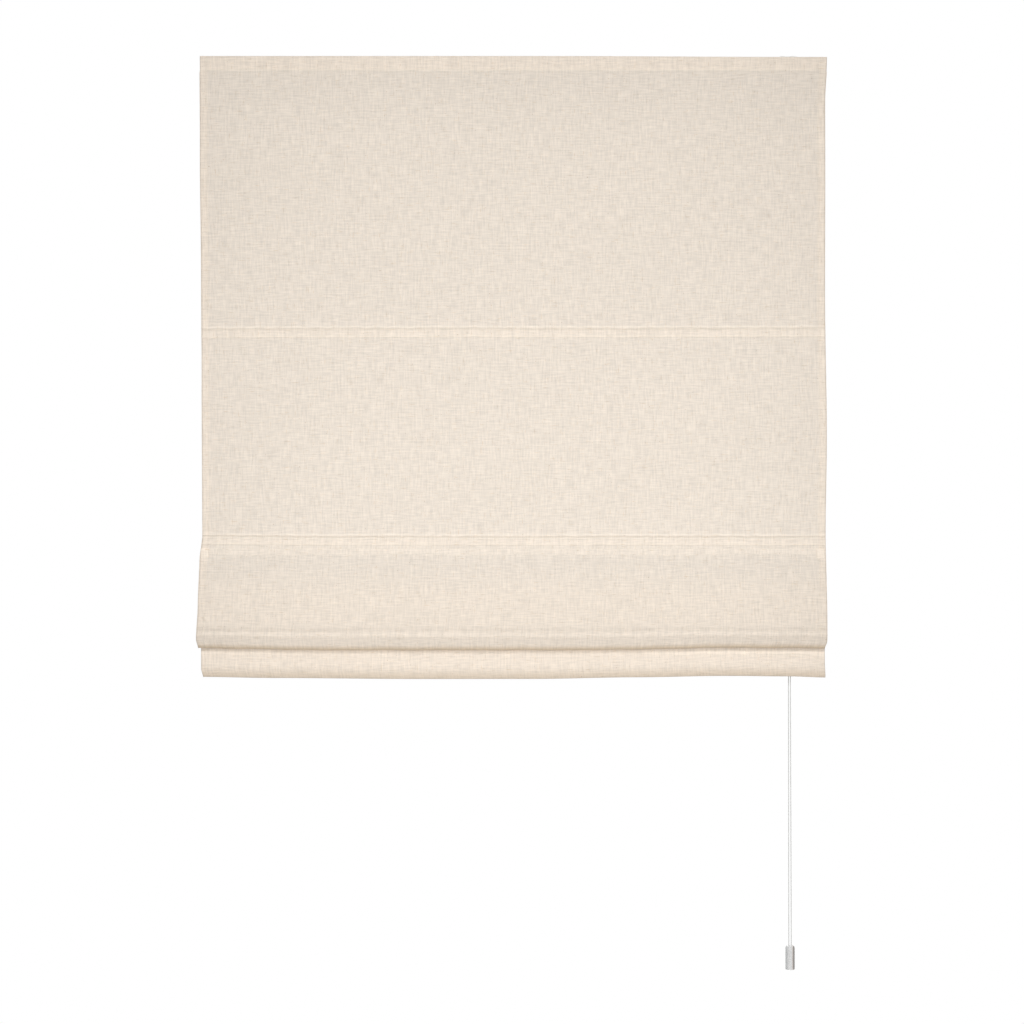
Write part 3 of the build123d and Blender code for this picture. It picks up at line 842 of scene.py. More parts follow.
def tube(parts: MeshParts, path: Grid, radius: float, sides: int, closed: bool = False) -> None:
    """Adds a round tube: a ring of points round each path point, in the plane across the path there.

    Each ring starts at the cross product of the path's direction and a fixed guide, so that it hardly turns.

    Args:
        parts: Where it is added.
        path: Path points, n by 3.
        radius: Radius of the tube.
        sides: Points in a ring.
        closed: Whether the path closes on itself, or else has a rounded cap at each end.
    """
    ahead = unit(np.roll(path, -1, 0) - np.roll(path, 1, 0) if closed else np.gradient(path, axis=0))
    first = unit(np.cross(ahead, np.array(TUBE_GUIDE)))
    second = np.cross(ahead, first)
    angle = 2.0 * np.pi * np.arange(sides) / sides
    ring = first[:, None] * np.cos(angle)[None, :, None] + second[:, None] * np.sin(angle)[None, :, None]
    points = (path[:, None] + radius * ring).reshape(-1, 3)
    flat = np.stack(np.broadcast_arrays(angle / (2 * np.pi), lengths(path)[:, None]), -1).reshape(-1, 2)
    faces = grid_faces(len(path), sides, wrap=True, close=closed)
    if closed:
        parts.add(points, faces, flat)
        return
    for end, sign in ((0, -1.0), (len(path) - 1, 1.0)):
        base = len(points)
        for share in CAP_RINGS:
            bulge = sign * radius * math.sqrt(1.0 - share * share) * CAP_HEIGHT
            level = path[end] + ahead[end] * bulge + share * radius * ring[end]
            points = np.concatenate([points, level])
            flat = np.concatenate([flat, flat[end * sides : (end + 1) * sides]])
        faces = np.concatenate([faces, cap_faces((end * sides, base, base + sides), sides, sign)])
    parts.add(points, faces, flat)

def smooth(x: Grid) -> Grid:
    """The soft step 3x^2 - 2x^3, held at 0 and 1."""
    x = np.clip(x, 0.0, 1.0)
    return x * x * (3.0 - 2.0 * x)


def hump(x: Grid, centre: float, width: float) -> Grid:
    """A bell of height 1: exp(-((x - centre)/width)^2)."""
    return np.exp(-(((x - centre) / width) ** 2))


def below(z: Grid, start: float, run: float) -> Grid:
    """The soft step from 0 at a height to 1 a run below it."""
    return smooth((start - z) / run)


def above(z: Grid, start: float, run: float) -> Grid:
    """The soft step from 0 at a height to 1 a run above it."""
    return smooth((z - start) / run)


@dataclass(frozen=True)
class Bell:
    """A ridge, a groove or a band of shade across the cloth: height times exp(-((z - at)/width)^2)."""

    height: float
    at: float
    width: float

    def over(self, z: Grid) -> Grid:
        """The bell at each place."""
        return self.height * hump(z, self.at, self.width)


@dataclass(frozen=True)
class Wave:
    """An uneven wave: the mean of sines of the given lengths, each with its own phase, times a size."""

    size: float
    lengths: tuple[float, ...]
    seed: float

    def over(self, x: Grid, shift: float = 0.0) -> Grid:
        """The wave along a coordinate.

        Args:
            x: Places.
            shift: Added to the seed, so that parts made alike differ.

        Returns:
            Values within about plus and minus the size.
        """
        seed = self.seed + shift
        sines = (np.sin(2.0 * np.pi * x / w + seed * (2.1 + 1.7 * k)) for k, w in enumerate(self.lengths))
        return self.size * sum(sines) / len(self.lengths)


@dataclass(frozen=True)
class Curve:
    """A curve through a few places, with a soft step between neighbours."""

    places: tuple[float, ...]
    values: tuple[float, ...]

    def at(self, where: Grid) -> Grid:
        """The curve's value everywhere, held past both ends.

        Args:
            where: Where it is wanted.

        Returns:
            The values.
        """
        places, values = np.array(self.places), np.array(self.values)
        k = np.clip(np.searchsorted(places, where) - 1, 0, len(places) - 2)
        share = smooth((where - places[k]) / (places[k + 1] - places[k]))
        return values[k] + (values[k + 1] - values[k]) * share


# The cloth


@dataclass(frozen=True)
class ClothDepths:
    """Heights and depths of the cloth, in metres, that the pockets, stitches and cords share."""

    front: float = -0.0343  # the cloth's middle surface
    step: float = 0.001  # from one layer to the next behind it
    thickness: float = 0.0007
    top: float = 0.013
    header: float = 0.022  # length of the edge turned over at the top
    rods: tuple[float, float, float] = (-0.424, -0.757, -0.781)
    bands: tuple[float, float] = (-0.4250, -0.7570)  # the two pockets, as they show to the room
    fold_start: float = -0.766
    fold_round: float = -0.907  # where the fold's front begins to turn under
    fold_bottom: float = -0.933
    bulge: float = 0.012  # how far the fold stands out
    under: float = 0.0058  # how far its lowest line lies behind its front
    mouth: float = 0.0014  # from the fold's back layer to the cloth
    hem: float = -0.976
    hem_turn: float = 0.075
    bar_back: float = -0.0293  # the hem's back layer, behind the hem bar
    bar_top: float = -0.9488


class Row(Enum):
    """The stretches of the cloth's length, from the turned edge at the top to the turned edge of the hem."""

    HEADER = 0
    PANEL_1 = 1
    PANEL_2 = 2
    FOLD_FRONT = 3
    FOLD_BACK = 4
    HEM_PANEL = 5


PANELS = (Row.PANEL_1, Row.PANEL_2)
BANDED = (*PANELS, Row.FOLD_FRONT)


@dataclass(frozen=True)
class ClothOutline:
    """How far the side edges stand from the middle, as curves of the height."""

    left: Curve = Curve(
        (-0.933, -0.919, -0.86, -0.79, -0.75, -0.50, -0.36, -0.14, 0.013),
        (0.5018, 0.5043, 0.5014, 0.5000, 0.4958, 0.4967, 0.4976, 0.4994, 0.5003),
    )
    right: Curve = Curve(
        (-0.933, -0.921, -0.80, -0.745, -0.60, -0.35, -0.06, 0.013),
        (0.4955, 0.4985, 0.4978, 0.4972, 0.4990, 0.4962, 0.4965, 0.5),
    )
    left_behind: Curve = Curve((-0.933, -0.883), (0.5005, 0.4975))
    right_behind: Curve = Curve((-0.933, -0.883), (0.4955, 0.4945))
    left_hem: Curve = Curve((-0.976, -0.962, -0.93, -0.78), (0.4952, 0.4982, 0.4984, 0.4975))
    right_hem: Curve = Curve((-0.976, -0.95, -0.78), (0.4975, 0.4966, 0.4955))

    def edges(self, row: Row, z: Grid) -> tuple[Grid, Grid]:
        """Where the left and the right edge are at rows of a stretch.

        Args:
            row: The stretch.
            z: Heights of the rows.

        Returns:
            Left and right distance from the middle.
        """
        left, right = self.left, self.right
        if row is Row.FOLD_BACK:
            left, right = self.left_behind, self.right_behind
        if row is Row.HEM_PANEL:
            left, right = self.left_hem, self.right_hem
        return left.at(z), right.at(z)


@dataclass(frozen=True)
class CornerCrease:
    """A short crease near the lower left corner, slanting down to the right at 45 degrees."""

    left: float = -0.494
    high: float = -0.878
    length: float = 0.020
    width: float = 0.0022

    def over(self, x: Grid, z: Grid) -> Grid:
        """The crease as a bell of the distance from its line.

        Args:
            x: Place across.
            z: Height.

        Returns:
            1 on the crease, 0 away from it.
        """
        run = np.clip((x - self.left - (z - self.high)) / 2, 0.0, self.length)
        away = np.hypot(x - self.left - run, z - self.high + run)
        return hump(away, 0.0, self.width)


@dataclass(frozen=True)
class ClothRelief:
    """How far the cloth stands out to the room, and up, beyond its plain profile."""

    depths: ClothDepths = ClothDepths()
    band_sags: tuple[Curve, Curve] = (
        Curve((-0.5, -0.3, 0.3, 0.5), (-0.0016, 0.0, 0.0, 0.001)),
        Curve((-0.5, -0.3, 0.3, 0.5), (0.002, 0.0, 0.0, 0.0)),
    )
    band_wave: Wave = Wave(0.0006, (0.41, 0.173, 0.067), 1.3)
    band_ripple: Wave = Wave(0.0005, (0.031, 0.019), 4.0)
    band_reach: float = 0.03
    pad: float = 0.0008
    ridge: Bell = Bell(0.0009, 0.0072, 0.0013)
    lower_ridge: Bell = Bell(0.0004, -0.0078, 0.0011)
    groove: Bell = Bell(-0.0002, 0.0038, 0.0011)
    pucker: Wave = Wave(0.25, (0.043, 0.0171, 0.0113), 2.0)
    gather: Bell = Bell(0.00035, 0.0, 0.028)
    gather_wave: Wave = Wave(1.0, (0.037, 0.0233, 0.0151), 5.5)
    bow: float = 0.0016
    bow_across: Wave = Wave(0.0007, (0.62, 0.37, 0.213), 0.7)
    bow_down: Wave = Wave(0.0007, (0.3, 0.19), 1.1)
    ripple: float = 0.00044
    ripple_left: Wave = Wave(0.00022, (0.061, 0.047), 3.0)
    ripple_right: Wave = Wave(0.00022, (0.083,), 1.0)
    header_sag: Curve = Curve((-0.5, 0.05, 0.45), (0.0019, 0.0019, 0.0004))
    header_edge: float = 0.0005
    swell: float = 0.0010
    swell_wave: Wave = Wave(0.0009, (0.55, 0.31, 0.17), 2.4)
    valley: Bell = Bell(0.0012, -0.9042, 0.0042)
    valley_wave: Wave = Wave(0.0012, (0.5, 0.23), 1.9)
    crease: CornerCrease = CornerCrease()
    crease_height: float = 0.0016
    fold_sag: Curve = Curve(
        (-0.5, -0.42, -0.3, 0.1, 0.2, 0.33, 0.42, 0.5),
        (0.0042, 0.0026, 0.0008, 0.0008, 0.0020, 0.0048, 0.0044, 0.0036),
    )
    fold_wave: Wave = Wave(0.0004, (0.11, 0.071), 3.3)
    fold_sag_front: float = 0.05
    fold_sag_back: float = 0.03
    hem_sag: Curve = Curve(
        (-0.5, -0.38, -0.15, 0.03, 0.2, 0.34, 0.44, 0.5),
        (0.0002, -0.0016, -0.0032, -0.0031, -0.0004, 0.0018, 0.0010, -0.0008),
    )
    hem_sag_top: float = -0.93
    hem_swell: float = 0.0008
    hem_wave: Wave = Wave(0.0008, (0.29, 0.131, 0.077), 0.4)

    def band(self, k: int, x: Grid, z: Grid) -> tuple[Grid, Grid]:
        """A sewn pocket as it shows to the room.

        A padded strip between two soft steps, a ridge above and below it, a groove beside the upper ridge,
        and gathered cloth around it. The whole band wanders up and down across the width.

        Args:
            k: Which band, from the top.
            x: Place across.
            z: Height.

        Returns:
            Metres towards the room and metres up.
        """
        at = z - self.depths.bands[k]
        line = self.band_wave.over(x, k) + self.band_ripple.over(x, k) + self.band_sags[k].at(x)
        pad = self.pad * below(at, 0.0022, 0.0018) * above(at, -0.0098, 0.0022)
        out = (pad + self.ridge.over(at)) * (1.0 + self.pucker.over(x, k))
        out += self.lower_ridge.over(at) + self.groove.over(at)
        out += self.gather.over(at) * (self.gather_wave.over(x, k) + 1.0)
        return out, line * smooth(1.0 - np.abs(at) / self.band_reach)

    def panel(self, row: Row, x: Grid, z: Grid) -> Grid:
        """How a panel bows between its rods: 4t(1 - t) times an uneven wave, t from its top to its bottom.

        Args:
            row: The stretch.
            x: Place across.
            z: Height.

        Returns:
            Metres towards the room.
        """
        d = self.depths
        high = d.top - 0.03 if row is Row.PANEL_1 else d.rods[0] - 0.012
        low = d.rods[PANELS.index(row)] + 0.012
        t = np.clip((high - z) / (high - low), 0.0, 1.0)
        wide = self.bow + self.bow_across.over(x + 0.15 * z, row.value) + self.bow_down.over(z - 0.2 * x)
        fine = self.ripple + self.ripple_left.over(x - 0.3 * z) + self.ripple_right.over(x + 0.5 * z)
        return 4.0 * t * (1.0 - t) * (wide + fine)

    def fold_front(self, x: Grid, z: Grid) -> Grid:
        """The fold's front: a swell, a valley that fades to the right, and the corner's crease.

        Args:
            x: Place across.
            z: Height.

        Returns:
            Metres towards the room.
        """
        d = self.depths
        swell = below(z, d.fold_start, 0.05) * above(z, d.fold_bottom, 0.03)
        out = swell * (self.swell + self.swell_wave.over(x + 0.2 * z))
        fade = 0.65 + 0.35 * below(x, 0.1, 0.5)
        out -= fade * self.valley.over(z - self.valley_wave.over(x))
        return out + self.crease_height * self.crease.over(x, z)

    def of(self, row: Row, x: Grid, y: Grid, z: Grid) -> tuple[Grid, Grid]:
        """The whole relief of a stretch.

        Args:
            row: The stretch.
            x: Place across, rows by columns.
            y: Depth of the plain profile.
            z: Height.

        Returns:
            Metres towards the room and metres up.
        """
        d = self.depths
        out, lift = np.zeros_like(x), np.zeros_like(x)
        if row in BANDED:
            for k in range(len(d.bands)):
                band_out, band_lift = self.band(k, x, z)
                out += band_out
                lift += band_lift
        if row in PANELS:
            out += self.panel(row, x, z)
        if row in (Row.HEADER, Row.PANEL_1):
            lift += above(z, -0.005, 0.018) * self.header_sag.at(x)
        if row is Row.PANEL_1:
            under = d.top - d.header - z
            out += self.header_edge * smooth(1.0 - np.abs(under) / 0.003) * below(under, 0.001, 0.001)
        if row is Row.FOLD_FRONT:
            out += self.fold_front(x, z)
        if row in (Row.FOLD_FRONT, Row.FOLD_BACK):
            reach = self.fold_sag_front if row is Row.FOLD_FRONT else self.fold_sag_back
            lift += below(z, d.fold_bottom + reach, reach) * (self.fold_sag.at(x) + self.fold_wave.over(x))
        if row is Row.HEM_PANEL:
            low = below(z, self.hem_sag_top, 0.04)
            lift += low * self.hem_sag.at(x)
            seen = low * below(y, d.front + 0.003, 0.004)
            out += seen * (self.hem_swell + self.hem_wave.over(x)) * above(z, d.hem, 0.006)
        return out, lift


@dataclass(frozen=True)
class BandTone:
    """Painted light and shade of a pocket band: the painted highlight on the rim below it, and how dark the
    painted shade in its upper groove is and how high it lies.
    """

    rim: float
    groove: float
    groove_at: float


@dataclass(frozen=True)
class ClothTone:
    """Lightness of the cloth, which is mostly painted light and shade, and how much cloth lies doubled behind
    the surface and shows through it. Doubling past 1 is painted warm shade.
    """

    depths: ClothDepths = ClothDepths()
    side_hem: float = 0.012
    hem_layers: float = 0.95
    # Painted shade: a dark line along the turned side edges.
    edge: Bell = Bell(0.13, 0.0, 0.0011)
    seam_inset: float = 0.0012
    seam: float = 0.075
    # Painted shade: the cloth darker towards the left and right, where the light falls off.
    sides: float = 0.03
    # Painted shade over and under the turned header, a painted highlight at its edge, and a painted shade
    # line along the top edge.
    header_shade: float = 0.035
    header_light: float = 0.025
    header_below: float = 0.03
    top_edge: float = 0.13
    bands: tuple[BandTone, BandTone] = (BandTone(0.085, 0.085, 0.0040), BandTone(0.04, 0.125, 0.0047))
    band_light: float = 0.02
    # Painted highlights on each band's bead and rim.
    bead: Bell = Bell(1.0, 0.0072, 0.0014)
    rim: Bell = Bell(1.0, -0.0079, 0.0012)
    groove_width: float = 0.0013
    # Painted shade in the fold's valley, a painted highlight just below it, and a painted highlight on the
    # corner crease.
    valley: Bell = Bell(0.045, -0.9000, 0.0055)
    valley_light: Bell = Bell(0.015, -0.9080, 0.003)
    crease: CornerCrease = CornerCrease()
    # Painted light right under the fold, the hem panel a little darker all over, and painted shade where the
    # hem rounds the bar and along its lowest edge.
    hem_light: Bell = Bell(0.125, -0.9362, 0.0031)
    hem_level: float = 0.96
    hem_round: float = 0.13
    hem_edge: float = 0.08

    def header(self, z: Grid) -> tuple[Grid, Grid]:
        """The turned header, which shows through, with painted shade over it and under it fading down the
        panel, a painted highlight at its edge, and a painted shade line along the top.

        Args:
            z: Height.

        Returns:
            A factor about 1, and a share from 0 to 1.
        """
        edge = self.depths.top - self.depths.header
        turned = above(z, edge, 0.0012)
        tone = (1.0 - self.header_shade * turned) * (1.0 + self.header_light * hump(z, edge + 0.003, 0.0022))
        # Painted shade under the header, fading down the panel.
        tone = tone * (1.0 - self.header_below * below(z, edge, 0.001) * above(z, -0.12, 0.1))
        # Painted shade line along the top edge.
        return tone * (1.0 - self.top_edge * hump(z, self.depths.top - 0.0003, 0.0014)), turned

    def band(self, k: int, z: Grid) -> tuple[Grid, Grid]:
        """A pocket band: a pale strip of doubled cloth, a painted highlight on the bead above it, a painted
        highlight on the rim below it, and painted shade in the stitched groove between.

        Args:
            k: Which band, from the top.
            z: Height.

        Returns:
            A factor about 1 with these painted highlights and shade, and how much is doubled, where the
            groove's share past 1 is painted warm shade.
        """
        at = z - self.depths.bands[k]
        shades = self.bands[k]
        strip = below(at, 0.0028, 0.0016) * above(at, -0.0092, 0.0012)
        bead = self.bead.over(at)
        groove = hump(at, shades.groove_at, self.groove_width)
        # Painted highlights on the bead and rim.
        tone = (1.0 + self.band_light * strip + 0.10 * bead) * (1.0 + shades.rim * self.rim.over(at))
        # The groove's doubling past 1 and its darkening below are painted shade.
        layers = np.maximum(np.maximum(0.6 * strip, 0.3 * bead), 1.15 * groove)
        return tone * (1.0 - shades.groove * groove), layers

    def fold_front(self, x: Grid, z: Grid) -> tuple[Grid, Grid]:
        """The fold's front: more cloth behind it further down, darker below the middle pocket, painted shade
        in a valley with a painted highlight under it, a painted highlight on the corner crease, and painted
        shade where it rounds under.

        Args:
            x: Place across.
            z: Height.

        Returns:
            A factor about 1 with this painted light and shade, and how much is doubled, where past 1 is
            painted warm straw shade at the bottom.
        """
        deep = below(z, -0.79, 0.07)
        tone = (1.0 - 0.065 * below(z, self.depths.rods[1] - 0.008, 0.03)) * (1.0 - 0.012 * deep)
        # Painted shade in the valley and a painted highlight below it.
        tone = tone * (1.0 - self.valley.over(z) + self.valley_light.over(z))
        # Painted shade where the fold rounds under.
        tone = tone * (1.0 - 0.09 * below(z, -0.9095, 0.005) + 0.02 * below(z, -0.914, 0.018))
        # Painted highlight on the corner crease.
        tone = tone * (1.0 + 0.04 * self.crease.over(x, z))
        # Doubling past 1 is painted warm shade at the fold's bottom.
        return tone, np.maximum(0.8 * deep, below(z, -0.905, 0.01) + 0.7 * below(z, -0.924, 0.009))

    def hem_panel(self, z: Grid) -> tuple[Grid, Grid]:
        """The cloth under the fold: painted light right below it, doubled from the hem's seam, a little
        darker all over, painted shade where it rounds the bar and along its lowest edge, and warm painted
        shade at the bottom.

        Args:
            z: Height.

        Returns:
            A factor about 1 with this painted light and shade, and how much is doubled, where past 1 is
            painted warm shade.
        """
        d = self.depths
        doubled = 0.25 + 0.75 * below(z, d.hem + d.hem_turn, 0.0012)
        # Painted light right under the fold.
        tone = (1.0 + self.hem_light.over(z)) * self.hem_level
        # Painted shade where the hem rounds the bar, and along its lowest edge.
        tone = tone * (1.0 - self.hem_round * below(z, -0.951, 0.025))
        tone = tone * (1.0 - self.hem_edge * hump(z, d.hem, 0.0013))
        # Doubling past 1 is painted warm shade at the bottom.
        return tone, np.maximum(doubled, 1.0 + 0.35 * below(z, -0.958, 0.016))

    def of(self, row: Row, x: Grid, z: Grid, side: Grid) -> tuple[Grid, Grid]:
        """The tone, with its painted light and shade, and the doubling of a stretch.

        Args:
            row: The stretch.
            x: Place across.
            z: Height of the plain profile.
            side: Distance from the nearer side edge.

        Returns:
            A factor about 1, mostly painted light and shade with the side seam's dark line, and how much is
            doubled, where past 1 is painted warm shade.
        """
        seam = hump(side, self.side_hem - self.seam_inset, 0.0008)
        # The side seam's dark line, then painted shade along the turned side edges and towards both sides.
        tone = (1.0 - self.seam * seam) * (1.0 - self.edge.over(side)) * (1.0 - self.sides * (x / 0.45) ** 4)
        # Doubled cloth of the side hems; the stretches below add painted warm shade where their doubling
        # passes 1.
        layers = self.hem_layers * below(side, self.side_hem + 0.0004, 0.0012)
        found = []
        if row is Row.PANEL_1:
            found.append(self.header(z))
        if row in BANDED:
            found += [self.band(k, z) for k in range(len(self.bands))]
        if row is Row.FOLD_FRONT:
            found.append(self.fold_front(x, z))
        # The fold's back: doubling past 1 is painted warm shade at its bottom.
        if row is Row.FOLD_BACK:
            found.append((np.ones_like(x), 1.2 - 0.9 * above(z, self.depths.fold_bottom, 0.02)))
        if row is Row.HEM_PANEL:
            found.append(self.hem_panel(z))
        for factor, doubled in found:
            tone = tone * factor
            layers = np.maximum(layers, doubled)
        return tone, layers


@dataclass
class Stretch:
    """One stretch of the cloth's length: depth, height and distance along the flat cloth at each row."""

    y: Grid
    z: Grid
    along: Grid = field(default_factory=lambda: np.zeros(0))

    def without_first(self, skip: bool) -> Stretch:
        """The stretch, or all but its first row, which the stretch above it also has."""
        start = int(skip)
        return Stretch(self.y[start:], self.z[start:], self.along[start:])


@dataclass
class ShadeCloth:
    """The one sheet of cloth, in five pieces, each of one or two neighbouring stretches."""

    depths: ClothDepths = ClothDepths()
    outline: ClothOutline = ClothOutline()
    relief: ClothRelief = ClothRelief()
    tone: ClothTone = ClothTone()
    half_width: float = 0.5
    side_hem: float = 0.012
    fine_row: float = 0.0009
    coarse_row: float = 0.0055
    inner_columns: int = 131
    hem_columns: int = 8
    band_near: float = 0.016
    band_far: float = 0.020
    hem_bend: float = 0.0015  # radius of the hem's two bends
    flattened: float = 0.12  # what is left of the fold's depth when it is let down
    stretches: dict[Row, Stretch] = field(default_factory=dict)

    def __post_init__(self) -> None:
        """Lays out the length of the cloth, stretch by stretch from the top."""
        self.lay_panels()
        self.lay_fold()
        self.lay_hem()
        run = 0.0
        for row in Row:
            part = self.stretches[row]
            steps = np.hypot(np.diff(part.y), np.diff(part.z))
            part.along = run + np.concatenate([[0.0], np.cumsum(steps)])
            run = float(part.along[-1])

    def put(self, row: Row, *parts: tuple[Grid | float, Grid]) -> None:
        """Keeps a stretch.

        Args:
            row: The stretch.
            *parts: Depths and heights, one after another, with one number for an upright part.
        """
        y = np.concatenate([np.broadcast_to(depth, height.shape) for depth, height in parts])
        self.stretches[row] = Stretch(y, np.concatenate([height for _, height in parts]))

    def lay_panels(self) -> None:
        """Lays out the turned header, whose upper edge is a half circle, and the two panels."""
        d = self.depths
        half = d.step / 2
        top = d.top - d.thickness / 2 - half
        turn = np.linspace(0.0, np.pi, 9)[1:]
        up = np.linspace(d.top - d.header, top, 8)
        over = (d.front + half + half * np.cos(turn), top + half * np.sin(turn))
        self.put(Row.HEADER, (d.front + d.step, up), over)
        start = over[1][-1]
        fine = (d.top - 0.03, d.top)
        for row, rod in zip(PANELS, d.rods):
            z = self.rows(start, rod, (fine, (rod - self.band_far, rod + self.band_near)))
            self.put(row, (d.front, z))
            start = rod
            fine = (rod - self.band_near, rod + self.band_far)

    def lay_fold(self) -> None:
        """Lays out the fold, down its front and up its back.

        The front swells by a soft step and ends in a quarter ellipse. The back starts with another quarter
        ellipse, runs straight up, and goes over the third rod's height in a half circle.
        """
        d = self.depths
        fine = ((d.rods[1] - self.band_near, d.rods[1]), (-0.912, -0.885))
        z_front = self.rows(d.rods[1], d.fold_round, fine)
        y_front = d.front - d.bulge * below(z_front, d.fold_start + 0.006, 0.115)
        low = np.linspace(0.0, np.pi / 2, 25)[1:]
        y_round = d.front - d.bulge + d.under - d.under * np.cos(low)
        z_round = d.fold_round + (d.fold_bottom - d.fold_round) * np.sin(low)
        self.put(Row.FOLD_FRONT, (y_front, z_front), (y_round, z_round))
        back = d.front - d.mouth
        inner = np.linspace(0.0, np.pi / 2, 14)
        y_in = y_round[-1] + (back - y_round[-1]) * np.sin(inner)
        z_in = d.fold_bottom + 0.014 * (1.0 - np.cos(inner))
        half = d.mouth / 2
        apex = d.rods[2] + 0.009 - half
        z_up = np.linspace(z_in[-1], apex, 28)[1:]
        over = np.linspace(np.pi, 0.0, 9)[1:]
        y_over, z_over = d.front - half + half * np.cos(over), apex + half * np.sin(over)
        z_down = np.linspace(z_over[-1], d.rods[2], 6)[1:]
        self.put(Row.FOLD_BACK, (y_in, z_in), (back, z_up), (y_over, z_over), (d.front, z_down))

    def lay_hem(self) -> None:
        """Lays out the hem: down, round the hem bar in two quarter circles, up, and forward above it."""
        d = self.depths
        base = d.hem + d.thickness / 2
        z_down = self.rows(d.rods[2], base + self.hem_bend, ((base, base + 0.03), (-0.945, -0.928)))
        bend = np.linspace(0.0, np.pi / 2, 6)[1:]
        rise = np.linspace(0.0, 1.0, 8)[1:]
        forward = d.bar_back + (d.front + d.step - d.bar_back) * smooth(rise)
        self.put(
            Row.HEM_PANEL,
            (d.front, z_down),
            (d.front + self.hem_bend * (1 - np.cos(bend)), base + self.hem_bend * (1 - np.sin(bend))),
            (d.bar_back - 0.0022, np.array([base])),
            (d.bar_back - self.hem_bend * (1 - np.sin(bend)), base + self.hem_bend * (1 - np.cos(bend))),
            (d.bar_back, np.linspace(base + self.hem_bend, d.bar_top + 0.002, 10)[1:]),
            (forward, d.bar_top + 0.002 + 0.010 * rise),
            (d.front + d.step, np.linspace(d.bar_top + 0.012, d.hem + d.hem_turn, 12)[1:]),
        )

    def rows(self, start: float, stop: float, fine: tuple[tuple[float, float], ...]) -> Grid:
        """Row heights from start down to stop, close together in the fine bands.

        Args:
            start: First height.
            stop: Last height.
            fine: Bands, low and high.

        Returns:
            The heights, in order.
        """
        count, ease = 4000, 0.012
        probe = np.linspace(start, stop, count)
        pitch = np.full(count, self.coarse_row)
        for low, high in fine:
            inside = above(probe, low - ease, ease) * below(probe, high + ease, ease)
            pitch = np.minimum(pitch, self.coarse_row + (self.fine_row - self.coarse_row) * inside)
        weight = np.concatenate([[0.0], np.cumsum(np.abs(np.diff(probe)) / pitch[1:])])
        return np.interp(np.linspace(0.0, weight[-1], int(math.ceil(weight[-1])) + 1), weight, probe)

    def columns(self) -> Grid:
        """Places across the width as shares from -1 to 1, closer together at the side hems."""
        edge = 1.0 - self.side_hem / self.half_width
        inner = np.linspace(0.006 - edge, edge - 0.006, self.inner_columns)
        rim = np.linspace(edge, 1.0, self.hem_columns)
        return np.concatenate([-rim[::-1], inner, rim])

    def surface(self, row: Row, shares: Grid, part: Stretch) -> Grid:
        """The middle surface of a stretch.

        A point is the plain profile's depth and height at its row, at the share of the way between the two
        edges, moved out and up by the relief.

        Args:
            row: The stretch.
            shares: Places across, from -1 to 1.
            part: Its rows.

        Returns:
            Points, rows by columns by 3.
        """
        left, right = self.outline.edges(row, part.z)
        x = ((right - left) / 2)[:, None] + ((right + left) / 2)[:, None] * shares[None, :]
        y = np.broadcast_to(part.y[:, None], x.shape)
        z = np.broadcast_to(part.z[:, None], x.shape)
        out, lift = self.relief.of(row, x, y, z)
        return np.stack([x, y - out, z + lift], -1)

    def piece(self, name: str, rows: tuple[Row, ...], finishes: Finishes) -> Piece:
        """Builds the cloth of one or two neighbouring stretches, with its side hems turned behind.

        Args:
            name: The piece's name.
            rows: The stretches.
            finishes: The blind's finishes.

        Returns:
            The new object.
        """
        shares = self.columns()
        found = []
        for row in rows:
            part = self.stretches[row].without_first(row is not rows[0])
            grid = self.surface(row, shares, part)
            z = np.broadcast_to(part.z[:, None], grid.shape[:2])
            side = np.broadcast_to(self.half_width * (1.0 - np.abs(shares)), z.shape)
            tone, layers = self.tone.of(row, grid[..., 0], z, side)
            u = np.broadcast_to(shares * self.half_width, z.shape)
            flat = np.stack(np.broadcast_arrays(u, part.along[:, None]), -1)
            found.append((grid, flat, tone, layers, self.hemmed_rows(row, part)))
        grid, flat, tone, layers, hemmed = (np.concatenate(kind) for kind in zip(*found))
        parts = MeshParts()
        cloth_shell(parts, grid, self.depths.thickness, flat, tone=tone, layers=layers)
        for side_of in Side:
            self.side_strip(parts, grid[hemmed], flat[hemmed], side_of)
        made = parts.build(name, finishes.shade)
        LOG.info("%s: %d points", name, parts.count)
        return made

    def hemmed_rows(self, row: Row, part: Stretch) -> Grid:
        """Which rows have a side hem behind them: not the turned header and not the turned hem.

        Args:
            row: The stretch.
            part: Its rows.

        Returns:
            True or False for each row.
        """
        d = self.depths
        ahead = part.y <= d.front + 1e-6
        if row in (Row.HEADER, Row.PANEL_1):
            return ahead & (part.z < d.top - d.header - 0.001)
        if row is Row.HEM_PANEL:
            return ahead & (part.z > d.hem + d.hem_turn + 0.001)
        return np.ones(len(part.z), bool)

